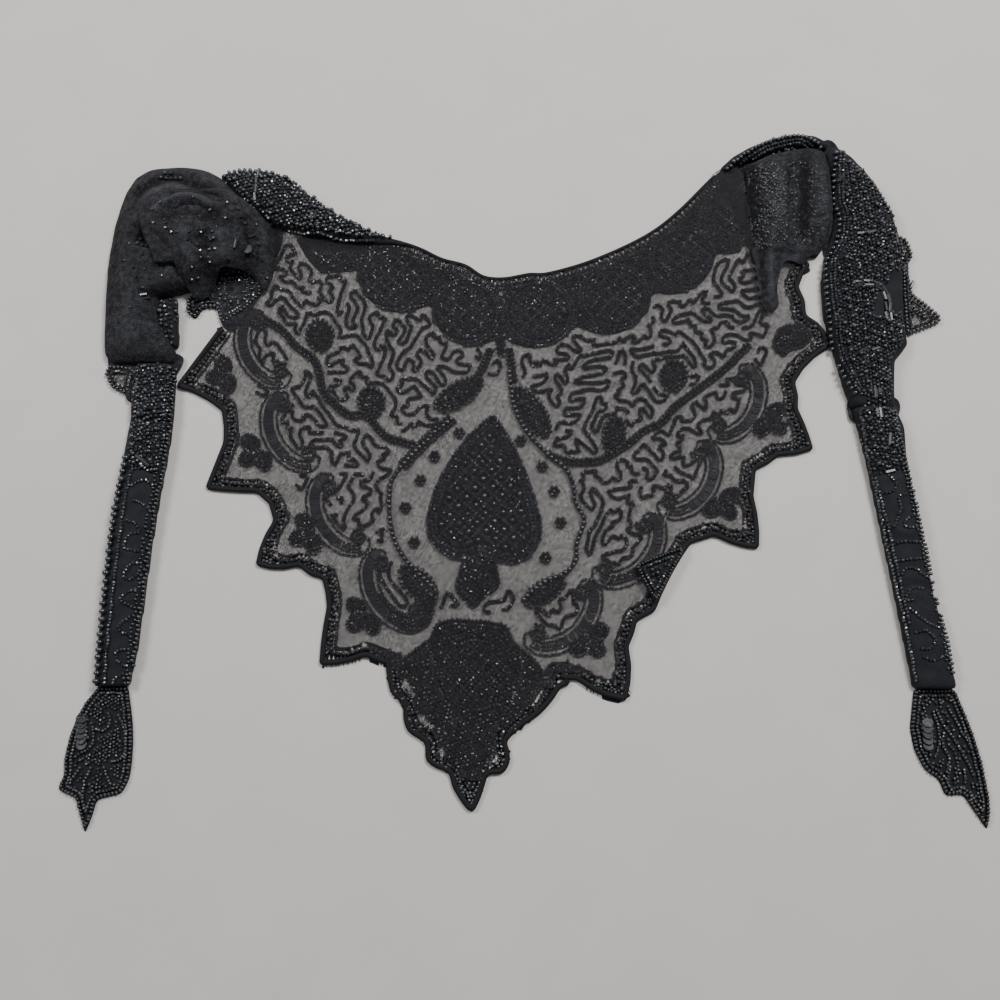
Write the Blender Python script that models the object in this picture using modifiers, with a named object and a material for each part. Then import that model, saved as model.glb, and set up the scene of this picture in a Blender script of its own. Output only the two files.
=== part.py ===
"""Beaded bib collar, laid face down on a flat surface with both wings folded in.

The collar is one cut of black net: a pointed bib, two wings and two long ties with leaf-shaped tips. Its face is
sewn with beads and lies underneath in the middle, so the beaded motifs are solids below the net, and the folded
stretches beside it are soft rounded solids with their layers showing at the rims.

+Z is up, the point of the bib is towards -Y and the neck towards +Y. The origin is at the bottom centre of the
whole piece. The tables give plan positions in millimetres; each object is made in metres.
"""

import math
from collections import namedtuple

import bmesh
import bpy
from mathutils import Vector

MM = 0.001

# Driving sizes, in millimetres
SEAM_GAP = 0.3
BEAD_LAYER = 1.7
NET_WALL = 1.0
NET_BASE = BEAD_LAYER + SEAM_GAP
BORDER_HEIGHT = NET_BASE + NET_WALL
BORDER_WIDTH = 4.8
CORD_RADIUS = 0.9
CORD_STEPS = 3
YOKE_INSET = 2.6
SCROLL_LENGTH = 50.0
SCROLL_WIDTH = 6.0
TREFOIL_REACH = 8.8
PETAL_ANGLE = 80.0
FLAP_WALL = 1.6
TIP_HEIGHT = 2.6
RIM_HEIGHT = 2.4
LIP_DEPTH = 0.7
FLAP_LIFT = 4.0 * SEAM_GAP
SEAM_DRAW = 0.6 * SEAM_GAP

# Shares: how full a rim and a soft crown are, how far a sharp turn of an inset line may run out, how much a scroll
# narrows at its ends and how far a trefoil's waist is from its centre
RIM_SHARE = 0.45
LIP_SHARE = 0.08
CROWN_POWER = 1.6
MITRE_LIMIT = 0.42
SCROLL_TAPER = 0.82
TREFOIL_WAIST = 0.38
PETAL_ROUNDNESS = 0.8

# Bend of a scroll's back and the tighter hook at its ends, in degrees
SCROLL_BEND = 62.0
SCROLL_HOOK = 95.0

# Fineness of the outlines and lofts
ARC_STEP = 7.0
CROWN_STEPS = 8
FLAP_STEPS = 8
SCROLL_STEPS = 14
TREFOIL_STEPS = 36
LENS_STEPS = 20

# A corner of a flat outline; bow is how far the run to the next corner swells outward (negative: inward).
Corner = namedtuple("Corner", "x y bow")
# A section across a folded stretch, from plan point a to plan point b, with the height of its crown.
Section = namedtuple("Section", "ax ay bx by crown")
# Motifs, with directions in degrees anticlockwise from +X. A scroll is placed by the middle of its back and the
# direction it opens to, a trefoil by its centre and the direction of its middle petal, a lens by its centre.
Scroll = namedtuple("Scroll", "node x y opens")
Trefoil = namedtuple("Trefoil", "node x y points_to")
Lens = namedtuple("Lens", "node x y length width turn")
Finish = namedtuple("Finish", "colour roughness metallic")

FINISHES = {
    "net": Finish((0.012, 0.012, 0.014), 0.85, 0.0),
    "bead": Finish((0.006, 0.006, 0.009), 0.18, 0.0),
    "sequin": Finish((0.008, 0.009, 0.014), 0.12, 0.0),
    "cord": Finish((0.010, 0.010, 0.011), 0.75, 0.0),
}

# The zigzag edge of the bib, anticlockwise from where it leaves the folded wing on the left.
LEFT_EDGE = [
    Corner(-133.8, 60.0, 0.0),
    Corner(-151.5, 32.0, -1.4),
    Corner(-130.5, 21.0, -0.5),
    Corner(-128.8, 7.0, 0.0),
    Corner(-135.5, -14.0, 0.4),
    Corner(-113.5, -15.5, -2.0),
    Corner(-105.5, -27.5, 1.3),
    Corner(-112.0, -46.8, 1.6),
    Corner(-94.0, -47.2, 1.2),
    Corner(-84.0, -52.5, -0.4),
    Corner(-81.5, -64.0, 0.5),
    Corner(-83.7, -88.0, 1.2),
    Corner(-65.0, -84.5, 0.0),
]
PENDANT_EDGE = [
    Corner(-56.5, -88.0, 2.6),
    Corner(-50.0, -104.5, 3.0),
    Corner(-40.5, -119.0, 3.0),
    Corner(-30.5, -131.0, 0.8),
    Corner(-21.5, -146.0, 0.8),
    Corner(-14.3, -131.5, 4.2),
    Corner(-7.0, -117.5, 3.0),
]
RIGHT_EDGE = [
    Corner(14.3, -93.8, 0.0),
    Corner(21.0, -94.0, 1.6),
    Corner(41.0, -102.5, 1.6),
    Corner(42.6, -80.5, 0.4),
    Corner(46.5, -70.0, 0.6),
    Corner(54.0, -66.0, -1.0),
    Corner(70.0, -37.5, -0.3),
    Corner(80.0, -34.3, 1.2),
    Corner(98.5, -40.0, 1.0),
    Corner(97.5, -17.0, 0.0),
    Corner(99.2, -5.5, 0.6),
    Corner(109.0, 0.5, 0.8),
    Corner(124.5, 3.5, 0.5),
    Corner(119.0, 22.0, 0.8),
    Corner(118.6, 34.0, -1.8),
    Corner(135.3, 50.5, 2.6),
    Corner(125.7, 65.5, 1.2),
    Corner(123.3, 79.0, -1.0),
    Corner(130.0, 90.3, 0.0),
]
EDGE = LEFT_EDGE + PENDANT_EDGE + RIGHT_EDGE

# The net goes on under the shoulder and the roll: its outline from the end of the edge back to the start.
SHOULDER_SEAM = [
    Corner(118.0, 94.2, 0.0),
    Corner(107.0, 94.2, -2.0),
    Corner(103.2, 118.0, 0.0),
    Corner(99.0, 138.6, 0.0),
    Corner(90.6, 134.2, 0.0),
]
LEFT_SEAM = [
    Corner(-51.0, 97.6, 0.0),
    Corner(-60.0, 98.6, 0.0),
    Corner(-80.0, 100.1, 0.0),
    Corner(-97.0, 103.0, 0.0),
    Corner(-108.0, 104.5, 0.0),
    Corner(-112.3, 98.0, 0.0),
    Corner(-117.6, 86.5, 0.0),
    Corner(-114.8, 76.0, 0.0),
    Corner(-121.0, 68.6, 0.0),
]

# Route of the neck cord, from the left roll to the right crescent.
NECK_ROUTE = [
    (-49.5, 99.0),
    (-44.0, 96.6),
    (-36.0, 92.4),
    (-25.5, 89.3),
    (-17.5, 83.9),
    (-8.0, 83.0),
    (3.0, 85.1),
    (11.0, 85.4),
    (28.0, 90.4),
    (46.0, 98.4),
    (60.0, 106.6),
    (72.0, 116.8),
    (84.0, 129.4),
    (88.5, 134.0),
]

# Lower edge of the yoke: each row starts one scallop.
YOKE_SCALLOPS = [
    Corner(-98.0, 98.0, 7.0),
    Corner(-75.0, 91.0, 13.5),
    Corner(-41.0, 70.5, 12.0),
    Corner(-9.5, 55.0, 8.0),
    Corner(24.0, 60.0, 11.5),
    Corner(58.5, 76.0, 8.5),
    Corner(88.0, 95.0, 5.0),
    Corner(102.5, 103.5, 0.0),
]
YOKE_MIDDLE = 3

SPADE = [
    Corner(-12.5, 20.5, 5.5),
    Corner(-41.5, -27.0, 4.0),
    Corner(-29.0, -45.0, 0.8),
    Corner(-18.0, -42.6, 0.8),
    Corner(-4.0, -47.0, 4.5),
    Corner(8.0, -29.0, 2.8),
]
SPADE_FOOT = [
    Corner(-20.0, -45.4, 0.4),
    Corner(-29.0, -55.0, 1.2),
    Corner(-24.0, -61.0, 0.8),
    Corner(-18.5, -65.0, 0.8),
    Corner(-11.0, -58.0, 0.8),
    Corner(-10.0, -51.5, 0.4),
    Corner(-15.5, -45.6, 0.0),
]
MEDALLION = [
    Corner(-38.0, -74.0, 2.0),
    Corner(-47.0, -88.0, 1.0),
    Corner(-44.0, -101.0, 0.6),
    Corner(-36.5, -112.0, -0.5),
    Corner(-31.5, -122.0, 0.8),
    Corner(-19.5, -124.0, 0.6),
    Corner(-13.0, -114.0, -0.5),
    Corner(-3.5, -105.5, 1.2),
    Corner(6.5, -92.5, 2.0),
    Corner(-1.5, -81.5, 1.0),
    Corner(-8.5, -71.5, 1.5),
]
FOLDED_POINT = [
    Corner(68.0, -38.6, 0.5),
    Corner(46.0, -47.0, 0.5),
    Corner(54.2, -63.0, 0.0),
]

SCROLLS = [
    Scroll("scroll_left_1", -121.4, 46.0, 26.0),
    Scroll("scroll_left_2", -107.6, 7.6, 28.0),
    Scroll("scroll_left_3", -85.4, -29.4, 31.0),
    Scroll("scroll_left_4", -61.0, -62.4, 35.0),
    Scroll("scroll_right_1", 100.2, 20.4, 152.0),
    Scroll("scroll_right_2", 78.0, -14.6, 146.0),
    Scroll("scroll_right_3", 50.6, -46.4, 136.0),
    Scroll("scroll_right_4", 22.2, -74.6, 133.0),
]
TREFOILS = [
    Trefoil("trefoil_left_1", -130.6, 37.8, 196.0),
    Trefoil("trefoil_left_2", -114.8, 2.2, 216.0),
    Trefoil("trefoil_left_3", -91.0, -33.2, 205.0),
    Trefoil("trefoil_left_4", -66.6, -68.0, 222.0),
    Trefoil("trefoil_right_1", 106.8, 16.8, 318.0),
    Trefoil("trefoil_right_2", 84.4, -20.0, 304.0),
    Trefoil("trefoil_right_4", 28.6, -78.8, 308.0),
]
LENSES = [
    Lens("leaf_left", -28.0, 28.5, 24.0, 10.0, 33.0),
    Lens("leaf_right", 3.8, 20.5, 26.0, 10.5, 120.0),
    Lens("oval_left", -44.0, -54.5, 20.0, 10.0, 135.0),
    Lens("oval_right", 8.6, -57.6, 20.0, 8.0, 35.0),
    Lens("rosette_left_1", -89.5, 56.0, 15.0, 11.0, 100.0),
    Lens("rosette_left_2", -65.8, 25.0, 14.0, 10.5, 105.0),
    Lens("rosette_right_1", 39.0, 10.0, 17.0, 8.5, 80.0),
    Lens("rosette_right_2", 66.0, 37.0, 15.0, 11.0, 75.0),
]

# Left side: the neck roll turned face up, the folded wing and the tie.
LEFT_ROLL = [
    Section(-52.0, 99.3, -52.5, 100.4, 2.6),
    Section(-60.0, 99.4, -60.5, 102.2, 3.2),
    Section(-70.0, 99.9, -70.5, 106.2, 4.2),
    Section(-80.0, 101.1, -81.0, 111.6, 5.0),
    Section(-88.0, 102.6, -90.0, 117.4, 5.6),
    Section(-97.0, 104.1, -98.5, 124.2, 6.0),
    Section(-104.0, 105.6, -107.5, 131.8, 6.4),
    Section(-111.6, 108.6, -117.0, 135.2, 6.4),
    Section(-118.2, 113.6, -128.5, 134.8, 6.2),
    Section(-126.0, 120.6, -138.0, 133.6, 5.2),
]
LEFT_LOBE = [
    Section(-166.0, 136.0, -156.0, 136.0, 3.0),
    Section(-172.0, 134.0, -142.5, 134.2, 7.0),
    Section(-176.5, 130.0, -136.0, 130.4, 10.0),
    Section(-179.8, 124.0, -130.6, 124.0, 12.0),
    Section(-182.0, 116.0, -122.0, 116.0, 13.0),
    Section(-183.6, 108.0, -113.4, 108.0, 13.5),
    Section(-184.2, 100.0, -113.6, 100.0, 13.5),
    Section(-184.8, 93.0, -116.0, 93.0, 12.5),
    Section(-184.9, 87.5, -121.0, 88.0, 12.0),
    Section(-184.8, 83.0, -136.5, 86.0, 11.0),
    Section(-184.6, 78.0, -143.5, 78.6, 10.5),
    Section(-184.4, 74.0, -152.0, 75.6, 10.0),
    Section(-184.1, 70.0, -162.0, 73.0, 9.0),
    Section(-183.6, 60.0, -159.6, 60.0, 8.5),
    Section(-183.2, 52.0, -154.0, 50.5, 8.0),
    Section(-182.4, 46.0, -151.8, 45.5, 7.0),
    Section(-179.5, 42.8, -152.2, 42.4, 4.0),
]
# The flap lies over the lobe: each row is a place along it with the share of the lobe's width that it covers.
FlapRow = namedtuple("FlapRow", "row start end")
LEFT_FLAP = [
    FlapRow(3.7, -0.20, 0.55),
    FlapRow(4.3, -0.52, 0.74),
    FlapRow(5.0, -0.58, 0.84),
    FlapRow(6.0, -0.50, 0.86),
    FlapRow(7.0, -0.38, 0.86),
    FlapRow(8.0, -0.24, 0.80),
    FlapRow(8.7, -0.10, 0.70),
]
LEFT_FOLD_POINT = [
    Corner(-149.6, 73.9, 0.0),
    Corner(-149.0, 66.5, 0.0),
    Corner(-145.0, 63.4, 0.0),
    Corner(-141.8, 69.0, 1.4),
    Corner(-136.0, 69.0, 0.0),
    Corner(-133.3, 60.9, 0.0),
    Corner(-121.8, 68.9, 0.0),
    Corner(-115.7, 76.2, 0.0),
    Corner(-119.0, 86.0, 0.0),
    Corner(-134.6, 83.6, 0.0),
    Corner(-142.0, 76.4, 0.0),
]
LEFT_STRIP = [
    Section(-161.4, 71.0, -153.6, 72.5, 4.0),
    Section(-158.9, 60.0, -152.4, 60.0, 5.0),
    Section(-153.2, 50.0, -151.4, 50.5, 3.6),
]
LEFT_STRIP_POINT = [
    Corner(-181.0, 42.0, 0.0),
    Corner(-183.0, 38.6, 0.0),
    Corner(-179.4, 31.4, 0.0),
    Corner(-171.5, 27.8, 0.0),
    Corner(-169.6, 40.8, 0.0),
]
LEFT_TIE = [
    Section(-169.0, 41.4, -152.0, 41.4, 4.5),
    Section(-169.2, 33.0, -151.6, 33.0, 5.6),
    Section(-169.4, 27.0, -151.4, 26.0, 6.0),
    Section(-168.6, 18.0, -151.2, 18.0, 6.0),
    Section(-170.0, 2.0, -152.2, 2.0, 6.0),
    Section(-172.2, -18.0, -154.4, -18.0, 5.8),
    Section(-173.4, -40.0, -156.2, -40.0, 5.6),
    Section(-173.8, -62.0, -157.4, -62.0, 5.4),
    Section(-174.0, -82.0, -158.6, -82.0, 5.0),
    Section(-174.0, -96.0, -160.6, -96.0, 4.2),
]
LEFT_TIP = [
    Corner(-173.2, -96.5, 0.0),
    Corner(-178.0, -103.0, 0.8),
    Corner(-183.5, -120.0, 0.6),
    Corner(-183.6, -131.0, 0.0),
    Corner(-185.6, -137.0, 1.2),
    Corner(-178.3, -140.0, 0.0),
    Corner(-173.2, -153.6, 0.4),
    Corner(-169.6, -140.6, 1.4),
    Corner(-160.0, -138.4, 1.0),
    Corner(-157.0, -127.0, 0.8),
    Corner(-159.4, -104.0, 0.0),
    Corner(-161.0, -96.5, 0.0),
]

# Right side: the shoulder with its folds, the wing turned face up and the tie.
RIGHT_ROLL = [
    Section(91.6, 135.6, 91.2, 136.9, 3.0),
    Section(98.6, 139.6, 97.0, 142.4, 4.2),
    Section(108.0, 142.2, 104.6, 147.0, 5.0),
    Section(117.0, 145.2, 113.8, 151.0, 5.6),
    Section(126.0, 147.6, 124.6, 153.6, 5.6),
    Section(134.0, 148.4, 134.6, 153.0, 5.2),
    Section(139.6, 146.8, 141.4, 149.4, 4.0),
]
RIGHT_SHOULDER = [
    Section(107.0, 95.2, 132.0, 93.4, 4.0),
    Section(104.8, 104.0, 138.6, 103.0, 6.0),
    Section(104.0, 116.0, 140.8, 116.0, 7.0),
    Section(103.0, 128.0, 141.4, 128.0, 7.5),
    Section(101.4, 137.0, 140.8, 138.0, 7.0),
    Section(112.0, 142.6, 139.0, 145.8, 5.0),
    Section(122.0, 145.6, 134.6, 147.4, 3.0),
]
RIGHT_WING = [
    Section(140.4, 145.0, 145.2, 148.0, 3.6),
    Section(141.4, 139.0, 152.0, 141.4, 5.0),
    Section(141.8, 128.0, 160.6, 129.0, 6.4),
    Section(141.2, 116.0, 166.4, 116.0, 7.0),
    Section(139.4, 102.0, 169.6, 103.0, 7.0),
    Section(136.0, 92.0, 169.8, 92.0, 7.0),
    Section(133.6, 80.0, 169.0, 80.0, 7.0),
    Section(133.4, 66.0, 168.0, 66.0, 7.0),
    Section(134.6, 57.0, 168.0, 58.0, 7.0),
    Section(135.9, 50.0, 168.4, 51.0, 6.8),
    Section(137.6, 42.0, 162.0, 43.4, 6.6),
    Section(139.6, 32.0, 160.8, 32.0, 6.4),
    Section(142.4, 22.0, 160.0, 22.0, 6.2),
]
RIGHT_WING_EDGE = [
    Corner(170.0, 104.4, 0.0),
    Corner(170.2, 91.8, 0.0),
    Corner(169.5, 80.0, 0.0),
    Corner(169.0, 66.0, 0.0),
    Corner(169.0, 55.2, 0.0),
    Corner(173.0, 57.0, 0.0),
    Corner(184.2, 61.6, 0.6),
    Corner(185.6, 64.4, 0.0),
    Corner(181.0, 69.6, 0.0),
    Corner(174.0, 75.6, 0.4),
    Corner(171.8, 88.0, 0.0),
    Corner(176.0, 94.0, 1.0),
    Corner(173.8, 102.6, 0.6),
]
RIGHT_TIE = [
    Section(142.6, 21.5, 160.2, 21.5, 6.2),
    Section(144.4, 13.0, 163.4, 13.0, 6.2),
    Section(146.6, 0.0, 163.0, 0.0, 6.0),
    Section(149.0, -20.0, 164.8, -20.0, 6.0),
    Section(151.4, -40.0, 166.8, -40.0, 6.0),
    Section(153.8, -60.0, 168.8, -60.0, 5.8),
    Section(156.0, -80.0, 172.2, -80.0, 5.4),
    Section(157.8, -97.0, 174.4, -97.0, 4.4),
]
RIGHT_TIP = [
    Corner(174.6, -97.5, 0.0),
    Corner(158.0, -97.5, 0.0),
    Corner(155.0, -113.0, 1.4),
    Corner(159.4, -129.5, 0.8),
    Corner(164.6, -133.0, 1.6),
    Corner(166.6, -139.4, 1.2),
    Corner(173.4, -138.6, 0.0),
    Corner(181.8, -152.4, 1.2),
    Corner(183.4, -134.0, 0.8),
    Corner(177.8, -107.0, 0.0),
]


def clear_scene():
    """Remove every object that the file opened with."""
    for thing in list(bpy.data.objects):
        bpy.data.objects.remove(thing, do_unlink=True)


def make_material(name):
    """Give one finish as a Principled material."""
    finish = FINISHES[name]
    material = bpy.data.materials.new(name)
    material.use_nodes = True
    shader = material.node_tree.nodes["Principled BSDF"]
    shader.inputs["Base Color"].default_value = (*finish.colour, 1.0)
    shader.inputs["Roughness"].default_value = finish.roughness
    shader.inputs["Metallic"].default_value = finish.metallic
    return material


def arc_run(start, end, bow):
    """Points from start up to, but not with, end, along an arc that swells outward by bow."""
    chord = math.hypot(end[0] - start[0], end[1] - start[1])
    steps = max(1, round(chord / ARC_STEP)) if abs(bow) > 0.01 else 1
    outward = ((end[1] - start[1]) / chord, -(end[0] - start[0]) / chord)
    if steps == 1:
        return [start]
    radius = (chord * chord / 4.0 + bow * bow) / (2.0 * abs(bow))
    half_angle = math.asin(min(1.0, chord / (2.0 * radius)))
    points = []
    for step in range(steps):
        turn = half_angle * (2.0 * step / steps - 1.0)
        along = 0.5 * chord + radius * math.sin(turn)
        rise = math.copysign(radius * (math.cos(turn) - math.cos(half_angle)), bow)
        points.append((
            start[0] + (end[0] - start[0]) * along / chord + outward[0] * rise,
            start[1] + (end[1] - start[1]) * along / chord + outward[1] * rise,
        ))
    return points


def trace(corners, closed=True):
    """Turn a table of corners into the points of its outline."""
    points = []
    ends = corners[1:] + corners[:1] if closed else corners[1:]
    for start, end in zip(corners, ends):
        points += arc_run((start.x, start.y), (end.x, end.y), start.bow)
    if not closed:
        points.append((corners[-1].x, corners[-1].y))
    return points


def inset(corners, distance):
    """Move an open table of corners inward, to the left of its direction, with mitred turns."""
    normals = []
    for start, end in zip(corners, corners[1:]):
        run = Vector((end.x - start.x, end.y - start.y)).normalized()
        normals.append(Vector((-run.y, run.x)))
    moved = []
    for index, corner in enumerate(corners):
        before = normals[max(index - 1, 0)]
        after = normals[min(index, len(normals) - 1)]
        mitre = (before + after).normalized()
        reach = distance / max(MITRE_LIMIT, mitre.dot(after))
        moved.append(Corner(corner.x + mitre.x * reach, corner.y + mitre.y * reach, corner.bow))
    return moved


def smooth_route(points, steps):
    """A smooth line through the route's own points, with steps stretches between each two."""
    route = []
    for index in range(len(points) - 1):
        before = Vector(points[max(index - 1, 0)])
        start = Vector(points[index])
        end = Vector(points[index + 1])
        after = Vector(points[min(index + 2, len(points) - 1)])
        for step in range(steps):
            t = step / steps
            bend = (2.0 * before - 5.0 * start + 4.0 * end - after) * t * t
            swing = (3.0 * start - before - 3.0 * end + after) * t * t * t
            route.append(tuple(start + 0.5 * ((end - before) * t + bend + swing)))
    route.append(tuple(points[-1]))
    return route


def beside(route, distance):
    """A line beside a route, to the right of its direction."""
    moved = []
    for index, point in enumerate(route):
        before = Vector(route[max(index - 1, 0)])
        after = Vector(route[min(index + 1, len(route) - 1)])
        run = (after - before).normalized()
        moved.append((point[0] + run.y * distance, point[1] - run.x * distance))
    return moved


def superellipse_rise(share):
    """Height share of a soft crown at a place across it, from -1 to 1."""
    return max(0.0, 1.0 - abs(share) ** (CROWN_POWER + 1.0)) ** (1.0 / CROWN_POWER)


def rim_height(crown):
    """Height of the layered rim under a crown: lower where the stretch is thin."""
    return min(RIM_HEIGHT, RIM_SHARE * crown)


def ring(section):
    """Ring of points across a folded stretch: flat foot, layered rims and a soft crown."""
    start = Vector((section.ax, section.ay, 0.0))
    end = Vector((section.bx, section.by, 0.0))
    width = (end - start).length
    across = (end - start) / width
    rim = rim_height(section.crown)
    lip = min(LIP_DEPTH, LIP_SHARE * width)
    rim_profile = [(0.0, 0.0), (0.0, 0.42), (lip, 0.5), (0.0, 0.58), (0.0, 1.0)]
    up = Vector((0.0, 0.0, 1.0))
    points = [start + across * inward + up * rim * share for inward, share in rim_profile]
    for step in range(1, CROWN_STEPS):
        share = -math.cos(math.pi * step / CROWN_STEPS)
        height = rim + (section.crown - rim) * superellipse_rise(share)
        points.append(start + across * width * 0.5 * (share + 1.0) + up * height)
    points += [end - across * inward + up * rim * share for inward, share in reversed(rim_profile)]
    return points


def add_object(name, data, finish, collection, materials):
    """Put one piece into the collar's collection with its material."""
    piece = bpy.data.objects.new(name, data)
    data.materials.append(materials[finish])
    collection.objects.link(piece)
    return piece


def flat_piece(name, outline, base, height, finish, collection, materials):
    """A flat piece: an outline in plan, extruded from its base to its height."""
    curve = bpy.data.curves.new(name, "CURVE")
    curve.dimensions = "2D"
    curve.fill_mode = "BOTH"
    curve.extrude = 0.5 * height * MM
    spline = curve.splines.new("POLY")
    spline.points.add(len(outline) - 1)
    for point, (x, y) in zip(spline.points, outline):
        point.co = (x * MM, y * MM, 0.0, 1.0)
    spline.use_cyclic_u = True
    piece = add_object(name, curve, finish, collection, materials)
    piece.location.z = (base + 0.5 * height) * MM
    return piece


def folded_piece(name, sections, finish, collection, materials):
    """A folded stretch: a loft through its sections, closed at both ends."""
    mesh = bpy.data.meshes.new(name)
    shape = bmesh.new()
    rings = [[shape.verts.new(point * MM) for point in ring(section)] for section in sections]
    count = len(rings[0])
    for lower, upper in zip(rings, rings[1:]):
        for index in range(count):
            following = (index + 1) % count
            shape.faces.new((lower[index], lower[following], upper[following], upper[index]))
    shape.faces.new(rings[0])
    shape.faces.new(list(reversed(rings[-1])))
    bmesh.ops.recalc_face_normals(shape, faces=shape.faces)
    bmesh.ops.triangulate(shape, faces=shape.faces)
    shape.to_mesh(mesh)
    shape.free()
    return add_object(name, mesh, finish, collection, materials)


def surface_point(sections, row, share, lift):
    """Point lifted off the crown of a folded stretch, at a place along it and a share across it."""
    index = min(int(row), len(sections) - 2)
    blend = row - index
    lower, upper = sections[index], sections[index + 1]
    ax, ay, bx, by, crown = (a + (b - a) * blend for a, b in zip(lower, upper))
    rim = rim_height(crown)
    height = rim + (crown - rim) * superellipse_rise(share)
    side = 0.5 * (share + 1.0)
    return Vector((ax + (bx - ax) * side, ay + (by - ay) * side, height + lift))


def flap_piece(name, sections, rows, finish, collection, materials):
    """A single layer that hangs over a folded stretch, made from that stretch's points, moved up."""
    mesh = bpy.data.meshes.new(name)
    shape = bmesh.new()
    grid = []
    for row in rows:
        shares = [row.start + (row.end - row.start) * step / FLAP_STEPS for step in range(FLAP_STEPS + 1)]
        grid.append([shape.verts.new(surface_point(sections, row.row, share, FLAP_LIFT) * MM) for share in shares])
    for lower, upper in zip(grid, grid[1:]):
        for step in range(FLAP_STEPS):
            shape.faces.new((lower[step], upper[step], upper[step + 1], lower[step + 1]))
    bmesh.ops.recalc_face_normals(shape, faces=shape.faces)
    if sum(face.normal.z for face in shape.faces) < 0.0:
        bmesh.ops.reverse_faces(shape, faces=shape.faces)
    shape.to_mesh(mesh)
    shape.free()
    piece = add_object(name, mesh, finish, collection, materials)
    solidify = piece.modifiers.new("Layer", "SOLIDIFY")
    solidify.thickness = FLAP_WALL * MM
    solidify.offset = 1.0
    return piece


def border_band(first, last):
    """Outline of the border from one corner of the edge to another, drawn in at its ends for the seam."""
    inner_edge = inset(EDGE, BORDER_WIDTH)
    outer = trace(EDGE[first:last + 1], closed=False)
    inner = trace(inner_edge[first:last + 1], closed=False)
    for line in (outer, inner):
        line[0] = draw_in(line[0], line[1])
        line[-1] = draw_in(line[-1], line[-2])
    return outer + inner[::-1]


def draw_in(end, following):
    """Move the end of a line about half a seam gap towards its next point."""
    run = (Vector(following) - Vector(end)).normalized()
    return tuple(Vector(end) + run * SEAM_DRAW)


def scroll_outline(scroll):
    """Band along a C-scroll: a slow bend along its back that tightens to a hook at each end."""
    stride = SCROLL_LENGTH / SCROLL_STEPS
    half_spine = [Vector((0.0, 0.0))]
    headings = [0.0]
    for step in range(SCROLL_STEPS // 2):
        u = (2.0 * step + 1.0) / SCROLL_STEPS
        heading = math.radians(SCROLL_BEND * u + SCROLL_HOOK * u ** 6)
        headings.append(heading)
        half_spine.append(half_spine[-1] + Vector((math.cos(heading), math.sin(heading))) * stride)
    left, right = [], []
    for index, point in enumerate(half_spine):
        following = headings[min(index + 1, len(headings) - 1)]
        heading = 0.5 * (headings[index] + following) if index else 0.0
        side = Vector((-math.sin(heading), math.cos(heading)))
        fullness = math.sqrt(1.0 - SCROLL_TAPER * (index / (len(half_spine) - 1)) ** 6)
        left.append(point + side * (0.5 * SCROLL_WIDTH * fullness))
        right.append(point - side * (0.5 * SCROLL_WIDTH * fullness))
    half_band = right + left[::-1]
    other_half = [(-x, y) for x, y in half_band[1:-1]]
    outline = half_band + other_half[::-1]
    return place(outline, scroll.x, scroll.y, scroll.opens - 90.0)


def place(points, x, y, turn):
    """Turn a motif's points about its own origin and move them to their place on the bib."""
    angle = math.radians(turn)
    along = Vector((math.cos(angle), math.sin(angle)))
    across = Vector((-along.y, along.x))
    return [tuple(Vector((x, y)) + along * point[0] + across * point[1]) for point in points]


def trefoil_outline(trefoil):
    """Three rounded petals, a fixed angle apart, with a short stem side behind them."""
    points = []
    for step in range(TREFOIL_STEPS):
        angle = -180.0 + 360.0 * step / TREFOIL_STEPS
        in_petals = abs(angle) < 1.5 * PETAL_ANGLE
        swell = abs(math.cos(math.pi * angle / PETAL_ANGLE)) ** PETAL_ROUNDNESS if in_petals else 0.0
        reach = TREFOIL_REACH * (TREFOIL_WAIST + (1.0 - TREFOIL_WAIST) * swell)
        points.append((reach * math.cos(math.radians(angle)), reach * math.sin(math.radians(angle))))
    return place(points, trefoil.x, trefoil.y, trefoil.points_to)


def lens_outline(lens):
    """A rounded leaf or oval, slightly pointed at both ends."""
    points = []
    for step in range(LENS_STEPS):
        angle = 2.0 * math.pi * step / LENS_STEPS
        across = math.copysign(abs(math.sin(angle)) ** 1.2, math.sin(angle))
        points.append((0.5 * lens.length * math.cos(angle), 0.5 * lens.width * across))
    return place(points, lens.x, lens.y, lens.turn)


def net_outline():
    """Outline of the bib's net: inside the border, then along the shoulder, the neck cord and the roll."""
    inner_edge = trace(inset(EDGE, BORDER_WIDTH + SEAM_GAP), closed=False)
    neck = beside(smooth_route(NECK_ROUTE, CORD_STEPS), CORD_RADIUS + SEAM_GAP)
    return inner_edge + trace(SHOULDER_SEAM, closed=False) + neck[::-1] + trace(LEFT_SEAM, closed=False)


def yoke_outline(first, last):
    """Half of the yoke: its scallops below and the neck line above."""
    neck = beside(smooth_route(NECK_ROUTE, CORD_STEPS), YOKE_INSET)
    middle = YOKE_SCALLOPS[YOKE_MIDDLE].x
    lower = trace(YOKE_SCALLOPS[first:last + 1], closed=False)
    if first == 0:
        upper = [point for point in neck if point[0] < middle - SEAM_GAP]
        lower[-1] = (lower[-1][0] - SEAM_GAP, lower[-1][1])
        upper.append((lower[-1][0], upper[-1][1]))
    else:
        upper = [point for point in neck if point[0] > middle + SEAM_GAP]
        upper.insert(0, (lower[0][0], upper[0][1]))
    return lower + upper[::-1]


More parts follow.
